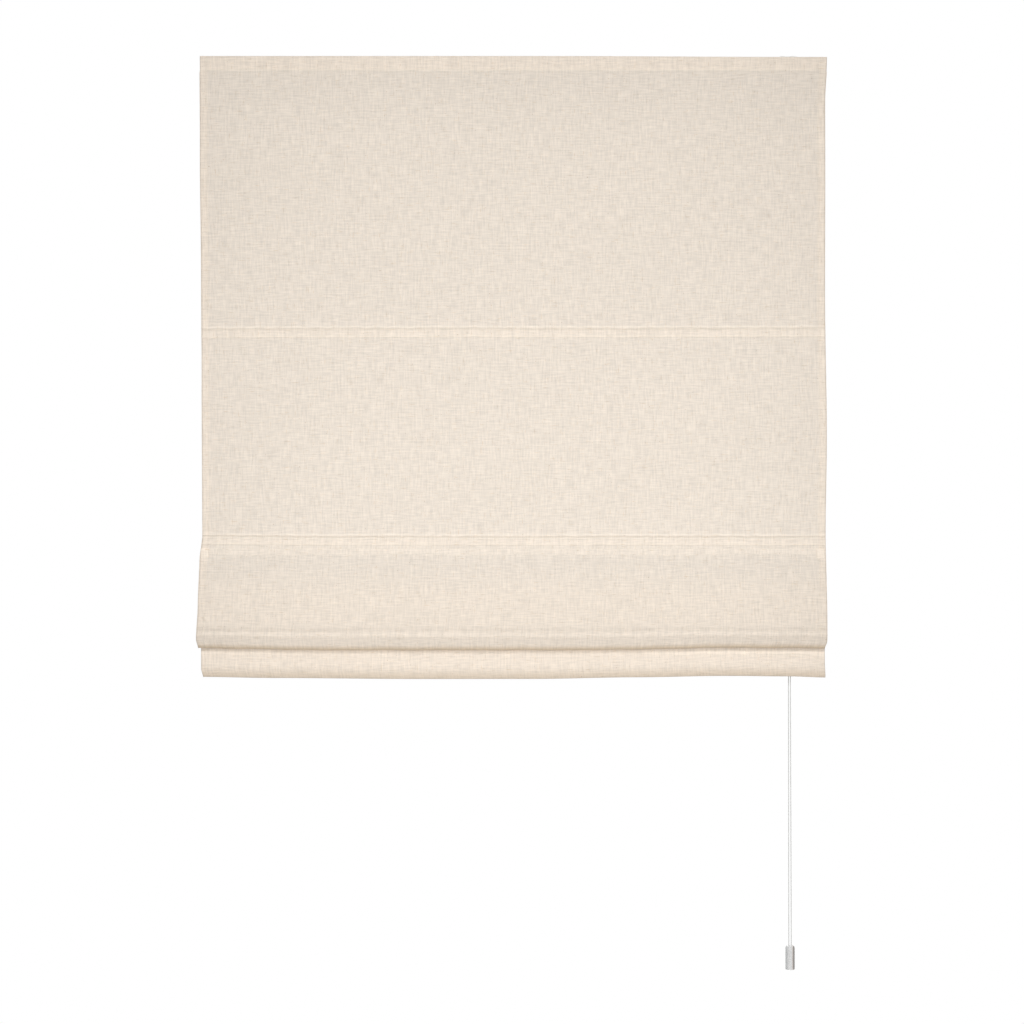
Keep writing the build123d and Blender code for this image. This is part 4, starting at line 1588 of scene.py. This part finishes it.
    def side_strip(self, parts: MeshParts, grid: Grid, flat: Grid, side: Side) -> None:
        """Adds the side hem: cloth that turns round the edge and lies behind the sheet.

        Across the hem the point first goes round a half circle of the cloth's own thickness and then runs
        back inwards at that distance behind the sheet.

        Args:
            parts: Where it is added.
            grid: The sheet's rows that have a hem.
            flat: Their flat map.
            side: Which edge.
        """
        column = {Side.LEFT: (0, self.hem_columns - 1), Side.RIGHT: (-1, -self.hem_columns)}[side]
        edge, inner = grid[:, column[0]], grid[:, column[1]]
        inward = unit(inner - edge)
        behind = unit(np.cross(np.gradient(edge, axis=0), inward) * side.value)
        radius = self.depths.thickness * 0.55
        arc = np.linspace(0.0, np.pi, 7)
        run = np.linspace(0.0, self.side_hem, 6)[1:]
        back = np.concatenate([radius * (1.0 - np.cos(arc)), np.full(len(run), 2 * radius)])
        into = np.concatenate([-radius * np.sin(arc), run])
        round_edge = inward[:, None] * into[None, :, None] + behind[:, None] * back[None, :, None]
        points = edge[:, None] + round_edge
        u = side.value * (self.half_width + np.concatenate([radius * arc, np.pi * radius + run]))
        strip_flat = np.stack(np.broadcast_arrays(u[None, :], flat[:, :1, 1]), -1)
        ones = np.ones(points.shape[:2])
        cloth_shell(parts, points, self.depths.thickness * 0.96, strip_flat, tone=ones, layers=ones)

    def carry(self, piece: Piece, row: Row) -> None:
        """Hangs a piece of cloth, or what is sewn to it, in place or on the body that carries it.

        The panels and the fold's back keep their place in the frame. The fold's front rides the middle rod on
        a mesh of its own, and the hem panel rides the hem.

        Args:
            piece: The cloth or its stitches.
            row: The stretch.
        """
        d = self.depths
        clear = 0.012
        spans = {
            Row.PANEL_1: ("head", "upper_rod", -0.20, d.rods[0] + clear),
            Row.PANEL_2: ("upper_rod", "middle_rod", -0.59, d.rods[1] + clear),
            Row.FOLD_BACK: ("middle_rod", "hem", d.fold_bottom, d.rods[2]),
        }
        if row in spans:
            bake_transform(piece)
        elif row is Row.FOLD_FRONT:
            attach(piece, "middle_rod")
            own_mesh(piece)
        else:
            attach(piece, "hem")

    def build(self, finishes: Finishes) -> None:
        """Args:
            finishes: The blind's finishes.
        """
        plan = {
            "cloth_panel_1": (Row.HEADER, Row.PANEL_1),
            "cloth_panel_2": (Row.PANEL_2,),
            "cloth_fold_front": (Row.FOLD_FRONT,),
            "cloth_fold_back": (Row.FOLD_BACK,),
            "cloth_hem_panel": (Row.HEM_PANEL,),
        }
        for name, rows in plan.items():
            piece = self.piece(name, rows, finishes)
            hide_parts("shade_cloth")
            self.carry(piece, rows[-1])


# Sewn pockets behind the cloth


@dataclass
class RodPockets:
    """The lining pockets that hold the rods: a strip round each rod, sewn to the cloth along both edges."""

    depths: ClothDepths = ClothDepths()
    front: float = -0.03340
    rod_y: float = -0.03085
    tunnel: float = 0.00255
    height: float = 0.016
    half_length: float = 0.474
    thickness: float = 0.0005
    bodies: tuple[str, ...] = ("upper_rod", "middle_rod", "hem")
    edge_wave: Wave = Wave(0.00035, (0.21, 0.043), 2.0)
    pucker: Wave = Wave(0.00022, (0.0187, 0.0129, 0.0431), 0.0)

    def profile(self) -> tuple[Grid, Grid]:
        """The strip's section, from its lower edge, round the rod, to its upper edge.

        The height runs from -half to +half, and the depth is a half circle round the rod between two flat
        edges.

        Returns:
            Depth and height of each column, about the rod.
        """
        angle = np.linspace(-0.5 * np.pi, 0.5 * np.pi, 15)
        upper = np.linspace(0.22, 0.5, 5) * self.height
        z = np.concatenate([-upper[::-1], self.tunnel * np.sin(angle) * 1.06, upper])
        flat = np.full(len(upper), self.front)
        return np.concatenate([flat, self.rod_y + self.tunnel * np.cos(angle), flat]), z

    def build(self, finishes: Finishes) -> None:
        """Builds the three pockets.

        Args:
            finishes: The blind's finishes.
        """
        y, z = self.profile()
        reach = lengths(np.stack([y, z], -1))
        x = np.linspace(-self.half_length, self.half_length, 240)
        for k, (rod, body) in enumerate(zip(self.depths.rods, self.bodies), 1):
            ease = np.clip((y - self.front) / 0.005, 0.0, 1.0)
            pucker = (self.pucker.over(x, k) + 0.4 * self.pucker.size)[:, None] * ease[None, :]
            loose = np.where(np.abs(z) > 0.4 * self.height, 1.0, 0.3)
            lift = self.edge_wave.over(x, k)[:, None] * loose[None, :]
            points = np.stack(np.broadcast_arrays(x[:, None], y + pucker, rod + z + lift), -1)
            flat = np.stack(np.broadcast_arrays(x[:, None], reach + 3.0 * k), -1)
            parts = MeshParts()
            cloth_shell(parts, points, self.thickness, flat)
            made = parts.build(f"pocket_{k}", finishes.lining)
            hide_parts(f"rod_pocket_{k}")
            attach(made, body)


# Stitching


@dataclass
class Stitching:
    """Rows of lock stitch: short rounded thread ends that dip into the cloth at both ends."""

    cloth: ShadeCloth
    pitch: float = 0.0034
    length: float = 0.0028
    radius: float = 0.00019
    rise: float = 0.00022
    sunk: float = 0.00012
    sides: int = 6
    places: tuple[float, ...] = (-1.0, -0.9, -0.45, 0.0, 0.45, 0.9, 1.0)
    widths: tuple[float, ...] = (0.15, 0.75, 1.0, 1.0, 1.0, 0.75, 0.15)
    seam_inset: float = 0.0014
    band_above: float = 0.0040
    band_below: float = -0.0068
    band_reach: float = 0.996
    pocket_edge: float = 0.42

    def stitches(self, parts: MeshParts, centre: Grid, ahead: Grid, out: Grid) -> None:
        """Adds one stitch at each centre.

        A stitch is a tube of six sides whose middle line rises as a parabola out of the cloth and whose ends
        close to a small cap.

        Args:
            parts: Where they are added.
            centre: Centres, n by 3.
            ahead: Unit directions along the row.
            out: Unit directions out of the cloth.
        """
        t, wide = np.array(self.places), np.array(self.widths)
        rise = self.rise * (1.0 - t * t) - self.sunk
        angle = 2.0 * np.pi * np.arange(self.sides) / self.sides
        aside = np.cross(ahead, out)
        line = ahead[:, None] * (t * self.length / 2)[None, :, None] + out[:, None] * rise[None, :, None]
        ring = aside[:, None] * np.cos(angle)[None, :, None] + out[:, None] * np.sin(angle)[None, :, None]
        around = self.radius * wide[None, :, None, None] * ring[:, None]
        points = centre[:, None, None] + line[:, :, None] + around
        each = len(t) * self.sides
        end = np.array([[0, 1, 2, 3], [0, 3, 4, 5]])
        wall = grid_faces(len(t), self.sides, wrap=True)
        one = np.concatenate([wall, end[:, ::-1], end + each - self.sides])
        faces = (one[None] + (np.arange(len(centre)) * each)[:, None, None]).reshape(-1, 4)
        parts.add(points.reshape(-1, 3), faces[:, ::-1], np.zeros((len(centre) * each, 2)))

    def on_cloth(self, parts: MeshParts, row: Row, share: Grid, z: Grid, y: Grid) -> None:
        """Adds a row of stitches on the room side of the cloth.

        Args:
            parts: Where it is added.
            row: The stretch.
            share: Places across, one for each stitch.
            z: Heights, one for each stitch.
            y: Depths, one for each stitch.
        """
        left, right = self.cloth.outline.edges(row, z)
        x = (right - left) / 2 + (right + left) / 2 * share
        out, lift = self.cloth.relief.of(row, x, y, z)
        centre = np.stack([x, y - out - self.cloth.depths.thickness / 2, z + lift], -1)
        to_room = np.broadcast_to(np.array([0.0, -1.0, 0.0]), centre.shape)
        self.stitches(parts, centre, unit(np.gradient(centre, axis=0)), to_room)

    def cross_row(self, parts: MeshParts, row: Row, height: float, reach: float, depth: float = 0.0) -> None:
        """A row of stitches across the blind at a height.

        Args:
            parts: Where it is added.
            row: The stretch it is on.
            height: Its height.
            reach: Share of the half width that it covers.
            depth: How far the cloth stands out there.
        """
        count = int(2 * self.cloth.half_width * reach / self.pitch)
        y = np.full(count, self.cloth.depths.front - depth)
        self.on_cloth(parts, row, np.linspace(-reach, reach, count), np.full(count, height), y)

    def side_rows(self, parts: MeshParts, row: Row, low: float, high: float) -> None:
        """Two rows of stitches down the side hems of a stretch.

        Args:
            parts: Where they are added.
            row: The stretch.
            low: Lowest height.
            high: Highest height.
        """
        part = self.cloth.stretches[row]
        order = np.argsort(part.z)
        count = max(3, int((high - low) / self.pitch))
        z = np.linspace(low, high, count)
        y = np.interp(z, part.z[order], part.y[order])
        inset = 1.0 - (self.cloth.side_hem - self.seam_inset) / self.cloth.half_width
        for side in Side:
            self.on_cloth(parts, row, np.full(count, side.value * inset), z, y)

    def on_pocket(self, parts: MeshParts, pockets: RodPockets, rod: float) -> None:
        """Two rows along the edges of a pocket, on its back.

        Args:
            parts: Where they are added.
            pockets: The pockets.
            rod: Height of the pocket's rod.
        """
        x = np.arange(0.003 - pockets.half_length, pockets.half_length - 0.003, self.pitch)
        back = np.full(len(x), pockets.front + pockets.thickness / 2)
        for edge in (-self.pocket_edge, self.pocket_edge):
            centre = np.stack([x, back, np.full(len(x), rod + edge * pockets.height)], -1)
            ahead = np.broadcast_to(np.array([1.0, 0.0, 0.0]), centre.shape)
            to_wall = np.broadcast_to(np.array([0.0, 1.0, 0.0]), centre.shape)
            self.stitches(parts, centre, ahead, to_wall)

    def build(self, pockets: RodPockets, finishes: Finishes) -> None:
        """Sews the header, side hems, pockets and hem, each row on the piece that carries it.

        Args:
            pockets: The pockets behind the cloth.
            finishes: The blind's finishes.
        """
        d = self.cloth.depths
        upper, middle, lower = d.rods
        clear, full, header = 0.012, self.band_reach, 0.985
        one, two, fold, hem = (MeshParts() for _ in range(4))
        self.cross_row(one, Row.PANEL_1, d.top - d.header + 0.002, header)
        self.side_rows(one, Row.PANEL_1, upper + clear, d.top - 0.004)
        self.cross_row(one, Row.PANEL_1, upper + self.band_above, full)
        self.cross_row(two, Row.PANEL_2, upper + self.band_below, full)
        self.side_rows(two, Row.PANEL_2, middle + clear, upper - clear)
        self.cross_row(two, Row.PANEL_2, middle + self.band_above, full)
        self.cross_row(fold, Row.FOLD_FRONT, middle + self.band_below, full, 0.0001)
        self.side_rows(fold, Row.FOLD_FRONT, d.fold_round, middle - clear)
        self.side_rows(hem, Row.HEM_PANEL, d.hem + 0.004, lower - 0.002)
        self.cross_row(hem, Row.HEM_PANEL, d.hem + d.hem_turn - 0.002, header)
        plan = {
            "stitches_panel_1": (one, Row.PANEL_1),
            "stitches_panel_2": (two, Row.PANEL_2),
            "stitches_fold": (fold, Row.FOLD_FRONT),
            "stitches_hem": (hem, Row.HEM_PANEL),
        }
        for name, (parts, row) in plan.items():
            self.cloth.carry(self.sewn(name, parts, finishes), row)
        for k, (rod, body) in enumerate(zip(d.rods, pockets.bodies), 1):
            parts = MeshParts()
            self.on_pocket(parts, pockets, rod)
            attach(self.sewn(f"stitches_pocket_{k}", parts, finishes), body)

    def sewn(self, name: str, parts: MeshParts, finishes: Finishes) -> Piece:
        """Makes a piece of stitches.

        Args:
            name: Its name.
            parts: The stitches.
            finishes: The blind's finishes.

        Returns:
            The new object.
        """
        made = parts.build(name, finishes.thread)
        LOG.info("%s: %d stitches", name, parts.count // (len(self.places) * self.sides))
        return made


# Cords, knots and toggle


def spline_line(name: str, route: list[Vector], resolution: int = 24) -> Grid:
    """The points of a smooth NURBS line of order 3 over a route.

    Args:
        name: Name of the curve while it lives.
        route: Control points.
        resolution: Points for each stretch.

    Returns:
        Points, n by 3.
    """
    curve = bpy.data.curves.new(name, "CURVE")
    curve.dimensions = "3D"
    curve.resolution_u = resolution
    spline = curve.splines.new("NURBS")
    spline.points.add(len(route) - 1)
    spline.points.foreach_set("co", np.c_[np.array(route), np.ones(len(route))].ravel())
    spline.order_u = 3
    spline.use_endpoint_u = True
    holder = put_in_scene(name, curve)
    bpy.context.view_layer.update()
    mesh = bpy.data.meshes.new_from_object(holder)
    points = np.zeros(len(mesh.vertices) * 3)
    mesh.vertices.foreach_get("co", points)
    bpy.data.meshes.remove(mesh)
    bpy.data.objects.remove(holder)
    bpy.data.curves.remove(curve)
    return points.reshape(-1, 3)


def even(line: Grid, step: float) -> Grid:
    """A line with points at even distances, by linear interpolation along its length.

    Args:
        line: The points.
        step: Wanted distance.

    Returns:
        The evenly spaced points.
    """
    far = lengths(line)
    at = np.linspace(0.0, far[-1], max(4, int(far[-1] / step)))
    return np.stack([np.interp(at, far, line[:, k]) for k in range(3)], -1)


@dataclass(frozen=True)
class CordPlaces:
    """Sizes and places that the pull cords, the lift cords and their knots share."""

    diameter: float = 0.0014
    sides: int = 10
    point_step: float = 0.006
    lock_x: float = 0.4396
    grooves: tuple[float, float] = (-0.01585, -0.02135)  # depths of the lock pulley's two grooves
    column_x: float = 0.405  # the lift cords, left and right of the middle
    column_y: float = -0.02135
    toggle_x: float = 0.443
    toggle_y: float = -0.0186

    def piece(self, name: str, path: Grid, finishes: Finishes) -> Piece:
        """Builds a piece of cord.

        Args:
            name: The piece's name.
            path: Its middle line.
            finishes: The blind's finishes.

        Returns:
            The new object.
        """
        parts = MeshParts()
        tube(parts, path, self.diameter / 2, self.sides)
        made = parts.build(name, finishes.cord)
        return made


@dataclass
class PullCords:
    """The two free cords from the lock to the toggle, each in three pieces split at two heights."""

    places: CordPlaces = CordPlaces()
    lock_z: float = -0.01045
    toggle_gap: float = 0.00205
    knot_z: float = -1.41615
    splits: tuple[float, float] = (-0.45, -0.90)
    bodies: tuple[str, ...] = ("head", "first_pull", "second_pull", "toggle")

    def build(self, finishes: Finishes) -> None:
        """Builds both cords.

        Args:
            finishes: The blind's finishes.
        """
        p = self.places
        for side, groove in zip(Side, p.grooves):
            name = f"pull_cord_{side.name.lower()}"
            low = (p.toggle_x + side.value * self.toggle_gap, p.toggle_y, self.knot_z)
            high = (p.lock_x, groove, self.lock_z)
            middle = tuple((a + b) / 2 for a, b in zip(high, low))
            line = even(spline_line(name + "_route", [high, middle, low]), p.point_step)
            cuts = [0, *(int(np.argmin(np.abs(line[:, 2] - z))) for z in self.splits), len(line) - 1]
            for k, (a, b) in enumerate(zip(self.bodies, self.bodies[1:])):
                run = line[cuts[k] : cuts[k + 1] + 1]
                made = p.piece(f"{name}_{k + 1}", run, finishes)
                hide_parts(name)
                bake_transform(made)


@dataclass
class LiftCords:
    """The two lift cords, from the knots in the cord stops up through the rings to the lock."""

    places: CordPlaces = CordPlaces()
    run_z: float = 0.0024
    low_z: float = -0.012
    knot_z: float = -0.7895
    lock_z: float = -0.0104
    radius: float = 0.004
    bodies: tuple[str, ...] = ("head", "upper_rod", "middle_rod", "hem")

    def arc(self, centre: Vector, start: float, stop: float) -> Grid:
        """Points of the arc over a pulley, in a plane across Y: centre plus radius times cosine and sine.

        Args:
            centre: Centre of the pulley.
            start: First angle from +X towards +Z.
            stop: Last angle.

        Returns:
            Points, 12 by 3.
        """
        a = np.linspace(start, stop, 12)
        return np.array(centre) + self.radius * np.stack([np.cos(a), np.zeros(len(a)), np.sin(a)], -1)

    def route(self, side: Side) -> Grid:
        """The part of a lift cord that stays still: over the guide pulley, along the rail and down the lock.

        Args:
            side: Which cord.

        Returns:
            Points, n by 3.
        """
        p = self.places
        x = side.value * p.column_x
        groove = p.grooves[0 if side is Side.LEFT else 1]
        low = self.run_z - self.radius
        over = self.arc((x + self.radius, p.column_y, low), np.pi, np.pi / 2)
        down = self.arc((p.lock_x - self.radius, groove, low), np.pi / 2, 0.0)
        span = np.linspace(0.0, 1.0, 90)[1:-1]
        shift = smooth((span - 0.05) / 0.9)
        (x_start, y_start, _), reach = over[-1], down[0] - over[-1]
        z_run = np.full(len(span), self.run_z)
        run = np.stack([x_start + reach[0] * span, y_start + reach[1] * shift, z_run], -1)
        first = np.array([[x, p.column_y, self.low_z]])
        last = np.array([[p.lock_x, groove, self.lock_z]])
        return np.concatenate([first, over, run, down, last])

    def build(self, rods: tuple[float, ...], finishes: Finishes) -> None:
        """Builds both cords in four pieces each.

        Args:
            rods: Heights of the rods.
            finishes: The blind's finishes.
        """
        p = self.places
        stops = (self.low_z, *rods[:2], self.knot_z)
        spans = list(zip(zip(self.bodies, self.bodies[1:]), zip(stops, stops[1:])))
        for side in Side:
            name = f"lift_cord_{side.name.lower()}"
            made = p.piece(f"{name}_rail", self.route(side), finishes)
            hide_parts(name)
            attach(made, "head")
            for k, ((a, b), (high, low)) in enumerate(spans, 1):
                z = np.linspace(high, low, max(6, int((high - low) / p.point_step)))
                x = np.full(len(z), side.value * p.column_x)
                path = np.stack([x, np.full(len(z), p.column_y), z], -1)
                made = p.piece(f"{name}_{k}", path, finishes)
                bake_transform(made)


@dataclass
class Knots:
    """Overhand knots of cord, each a trefoil whose tube lies on itself."""

    places: CordPlaces = CordPlaces()
    toggle_z: float = -1.4199
    toggle_size: float = 0.0036
    toggle_thick: float = 0.00095
    stop_z: float = -0.7918
    stop_size: float = 0.00175
    stop_thick: float = 0.0006
    tail_leans: tuple[float, float] = (-0.0016, 0.0013)
    tail_thick: float = 0.00072
    tail_end: float = -0.0125
    tail_longer: float = -0.002

    def knot(self, centre: Vector, size: float, thick: float) -> MeshParts:
        """A trefoil: radius 2 + cos 3t round the axis at 2t, and height sin 3t, scaled to a size.

        Args:
            centre: Its middle.
            size: Half its width.
            thick: Radius of the cord.

        Returns:
            The mesh so far.
        """
        t = np.linspace(0.0, 2.0 * np.pi, 97)[:-1]
        far = (2.0 + np.cos(3 * t)) * size / 3.0
        path = np.stack([far * np.cos(2 * t), far * np.sin(2 * t), 0.72 * size * np.sin(3 * t)], -1)
        parts = MeshParts()
        tube(parts, path + np.array(centre), thick, self.places.sides, closed=True)
        return parts

    def tie(self, parts: MeshParts, node: str, body: str, finishes: Finishes) -> None:
        """Makes a knot in the place of a modelled one.

        Args:
            parts: The knot.
            node: The modelled knot.
            body: What it rides on.
            finishes: The blind's finishes.
        """
        made = parts.build(f"{node}_wound", finishes.cord)
        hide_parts(node)
        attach(made, body)
        LOG.info("%s: %d points", made.name, parts.count)

    def build(self, finishes: Finishes) -> None:
        """Builds the toggle's knot with its two tails, and the two knots in the cord stops.

        Args:
            finishes: The blind's finishes.
        """
        p = self.places
        centre = (p.toggle_x, p.toggle_y, self.toggle_z)
        parts = self.knot(centre, self.toggle_size, self.toggle_thick)
        for k, lean in enumerate(self.tail_leans):
            z = np.linspace(0.0015, self.tail_end + self.tail_longer * k, 14)
            x = lean * (0.4 + 1.3 * smooth(-z / 0.012))
            tail = np.stack([x, 0.0004 * np.sin(400 * z), z], -1)
            tube(parts, tail + np.array(centre), self.tail_thick, p.sides)
        self.tie(parts, "toggle_knot", "toggle", finishes)
        for side in Side:
            centre = (side.value * p.column_x, p.column_y, self.stop_z)
            parts = self.knot(centre, self.stop_size, self.stop_thick)
            self.tie(parts, f"lift_knot_{side.name.lower()}", "hem", finishes)


# Hardware as modelled


@dataclass
class Hardware:
    """The modelled nodes that keep their shape and get a finish."""

    nodes: dict[str, Piece]

    def dress(self, finishes: Finishes) -> None:
        """Gives each node in the plan its finish: the longest key that its name starts with holds.

        Args:
            finishes: The blind's finishes.
        """
        plan = {
            "headrail": finishes.rail,
            "end_cap": finishes.cap,
            "wall_bracket": finishes.bracket,
            "bracket_catch": finishes.bracket,
            "bracket_rivet": finishes.steel,
            "hook_tape": finishes.hook,
            "loop_tape": finishes.loop,
            "lock_housing": finishes.cap,
            "lock_pulley": finishes.pulley,
            "guide_pulley": finishes.pulley,
            "lock_axle": finishes.steel,
            "guide_axle": finishes.steel,
            "lock_roller": finishes.steel,
            "cord_guide": finishes.cap,
            "ring_": finishes.ring,
            "hem_bar": finishes.bar,
            "hem_bar_caps": finishes.soft_cap,
            "cord_stop": finishes.ring,
            "toggle_shell": finishes.toggle,
        }
        for k in (1, 2, 3):
            plan[f"rod_{k}"] = finishes.rod
            plan[f"rod_{k}_caps"] = finishes.soft_cap
        for name, node in self.nodes.items():
            starts = [key for key in plan if name.startswith(key)]
            if not starts:
                continue
            chosen = plan[max(starts, key=len)]
            node.data.materials.clear()
            node.data.materials.append(chosen)
            LOG.info("%s: %s", name, chosen.name)


# Studio


@dataclass
class Studio:
    """Camera, light and ground: the camera is level, opposite the middle of the picture."""

    centre: tuple[float, float] = (-0.0024, -0.7127)
    subject_y: float = -0.03465
    distance: float = 3.8
    frame_width: float = 1.6333
    sensor: float = 36.0
    floor_z: float = -2.25
    floor_y: float = -0.2
    floor_radius: float = 3.2
    floor_colour: Colour = (0.86, 0.86, 0.85)
    floor_seen_white: float = 0.9
    ambient_below: float = 0.14
    ambient_above: float = 0.46
    ambient_span: tuple[float, float] = (-0.5, 0.6)
    key: float = 13.9
    back: float = 42.0
    overhead: float = 1.30
    overhead_blur: float = 24.0
    overhead_tilt: tuple[float, float] = (48.0, 4.0)

    def camera(self) -> None:
        """Makes the camera: its focal length is the sensor's width times distance over the width it sees."""
        data = bpy.data.cameras.new("camera")
        data.sensor_width = self.sensor
        data.lens = self.sensor * self.distance / self.frame_width
        data.clip_end = 50.0
        camera = put_in_scene("camera", data)
        camera.location = (self.centre[0], self.subject_y - self.distance, self.centre[1])
        camera.rotation_euler = (math.pi / 2, 0.0, 0.0)
        bpy.context.scene.camera = camera

    def lamp(self, name: str, place: Vector, target: Vector, size: float, power: float) -> None:
        """Adds a square soft lamp that faces a target.

        Args:
            name: Its name.
            place: Where it stands.
            target: What it faces.
            size: Side of the square.
            power: Watts.
        """
        data = bpy.data.lights.new(name, "AREA")
        data.shape = "SQUARE"
        data.size = size
        data.energy = power
        lamp = put_in_scene(name, data)
        lamp.location = place
        x, y, z = np.array(target) - np.array(place)
        lamp.rotation_euler = (math.atan2(math.hypot(x, y), -z), 0.0, math.atan2(y, x) - math.pi / 2)

    def overhead_lamp(self) -> None:
        """Adds the wide, even light from above the camera that shades the fold and what hangs under it."""
        data = bpy.data.lights.new("overhead_lamp", "SUN")
        data.energy = self.overhead
        data.angle = math.radians(self.overhead_blur)
        lamp = put_in_scene("overhead_lamp", data)
        down, aside = self.overhead_tilt
        lamp.rotation_euler = (math.radians(down), 0.0, math.radians(aside))

    def world(self) -> None:
        """White to the camera and in reflections, softer as ambient light and softest from below."""
        world = bpy.data.worlds.new("studio_world")
        bpy.context.scene.world = world
        world.use_nodes = True
        g = NodeGraph(world.node_tree)
        ray = g.node("ShaderNodeLightPath").outputs
        clear = g.math("MAXIMUM", ray["Is Glossy Ray"], ray["Is Transmission Ray"])
        seen = g.math("MAXIMUM", ray["Is Camera Ray"], clear)
        split = g.node("ShaderNodeSeparateXYZ")
        g.link(g.node("ShaderNodeTexCoord").outputs["Generated"], split.inputs[0])
        ambient = g.window(split.outputs[2], *self.ambient_span, self.ambient_below, self.ambient_above)
        back = g.node("ShaderNodeBackground")
        back.inputs["Color"].default_value = (1.0, 1.0, 1.0, 1.0)
        g.link(g.window(seen, 0.0, 1.0, ambient, 1.0), back.inputs["Strength"])
        g.link(back.outputs[0], g.node("ShaderNodeOutputWorld").inputs["Surface"])

    def floor(self) -> None:
        """Lays a round pale floor far below, white to the camera but for a soft share of shadow."""
        count = 96
        turn = np.linspace(0.0, 2.0 * np.pi, count, endpoint=False)
        x = self.floor_radius * np.cos(turn)
        y = self.floor_radius * np.sin(turn) + self.floor_y
        mesh = bpy.data.meshes.new("floor")
        rim = np.stack([x, y, np.full(count, self.floor_z)], -1)
        mesh.from_pydata(rim.tolist(), [], [list(range(count))])
        g = ShaderGraph("pale_floor")
        g.finish(self.floor_colour, 0.8)
        glow = g.node("ShaderNodeEmission")
        glow.inputs["Color"].default_value = (1.0, 1.0, 1.0, 1.0)
        path = g.node("ShaderNodeLightPath")
        mixer = g.node("ShaderNodeMixShader")
        g.link(g.math("MULTIPLY", path.outputs["Is Camera Ray"], self.floor_seen_white), mixer.inputs[0])
        g.link(g.shader.outputs[0], mixer.inputs[1])
        g.link(glow.outputs[0], mixer.inputs[2])
        g.link(mixer.outputs[0], g.output.inputs["Surface"])
        mesh.materials.append(g.material)
        put_in_scene("floor", mesh)

    def build(self) -> None:
        """Sets up the whole studio."""
        bpy.context.scene.view_settings.view_transform = "Standard"
        self.camera()
        self.world()
        self.floor()
        self.lamp("key_lamp", (0.03, -2.0, -0.72), (0.0, 0.0, -0.7), 1.0, self.key)
        self.overhead_lamp()
        self.lamp("back_lamp", (0.6, 2.6, 0.6), (0.0, 0.0, -0.5), 1.6, self.back)


def main() -> None:
    """Builds the blind and the studio, in order."""
    logging.basicConfig(level=logging.INFO, format="%(name)s: %(message)s")
    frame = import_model()
    Studio().build()
    finishes = Finishes()
    cloth = ShadeCloth()
    pockets = RodPockets()
    Hardware(dict(frame["nodes"])).dress(finishes)
    Knots().build(finishes)
    PullCords().build(finishes)
    LiftCords().build(cloth.depths.rods, finishes)
    cloth.build(finishes)
    pockets.build(finishes)
    Stitching(cloth).build(pockets, finishes)


if __name__ == "__main__":
    main()
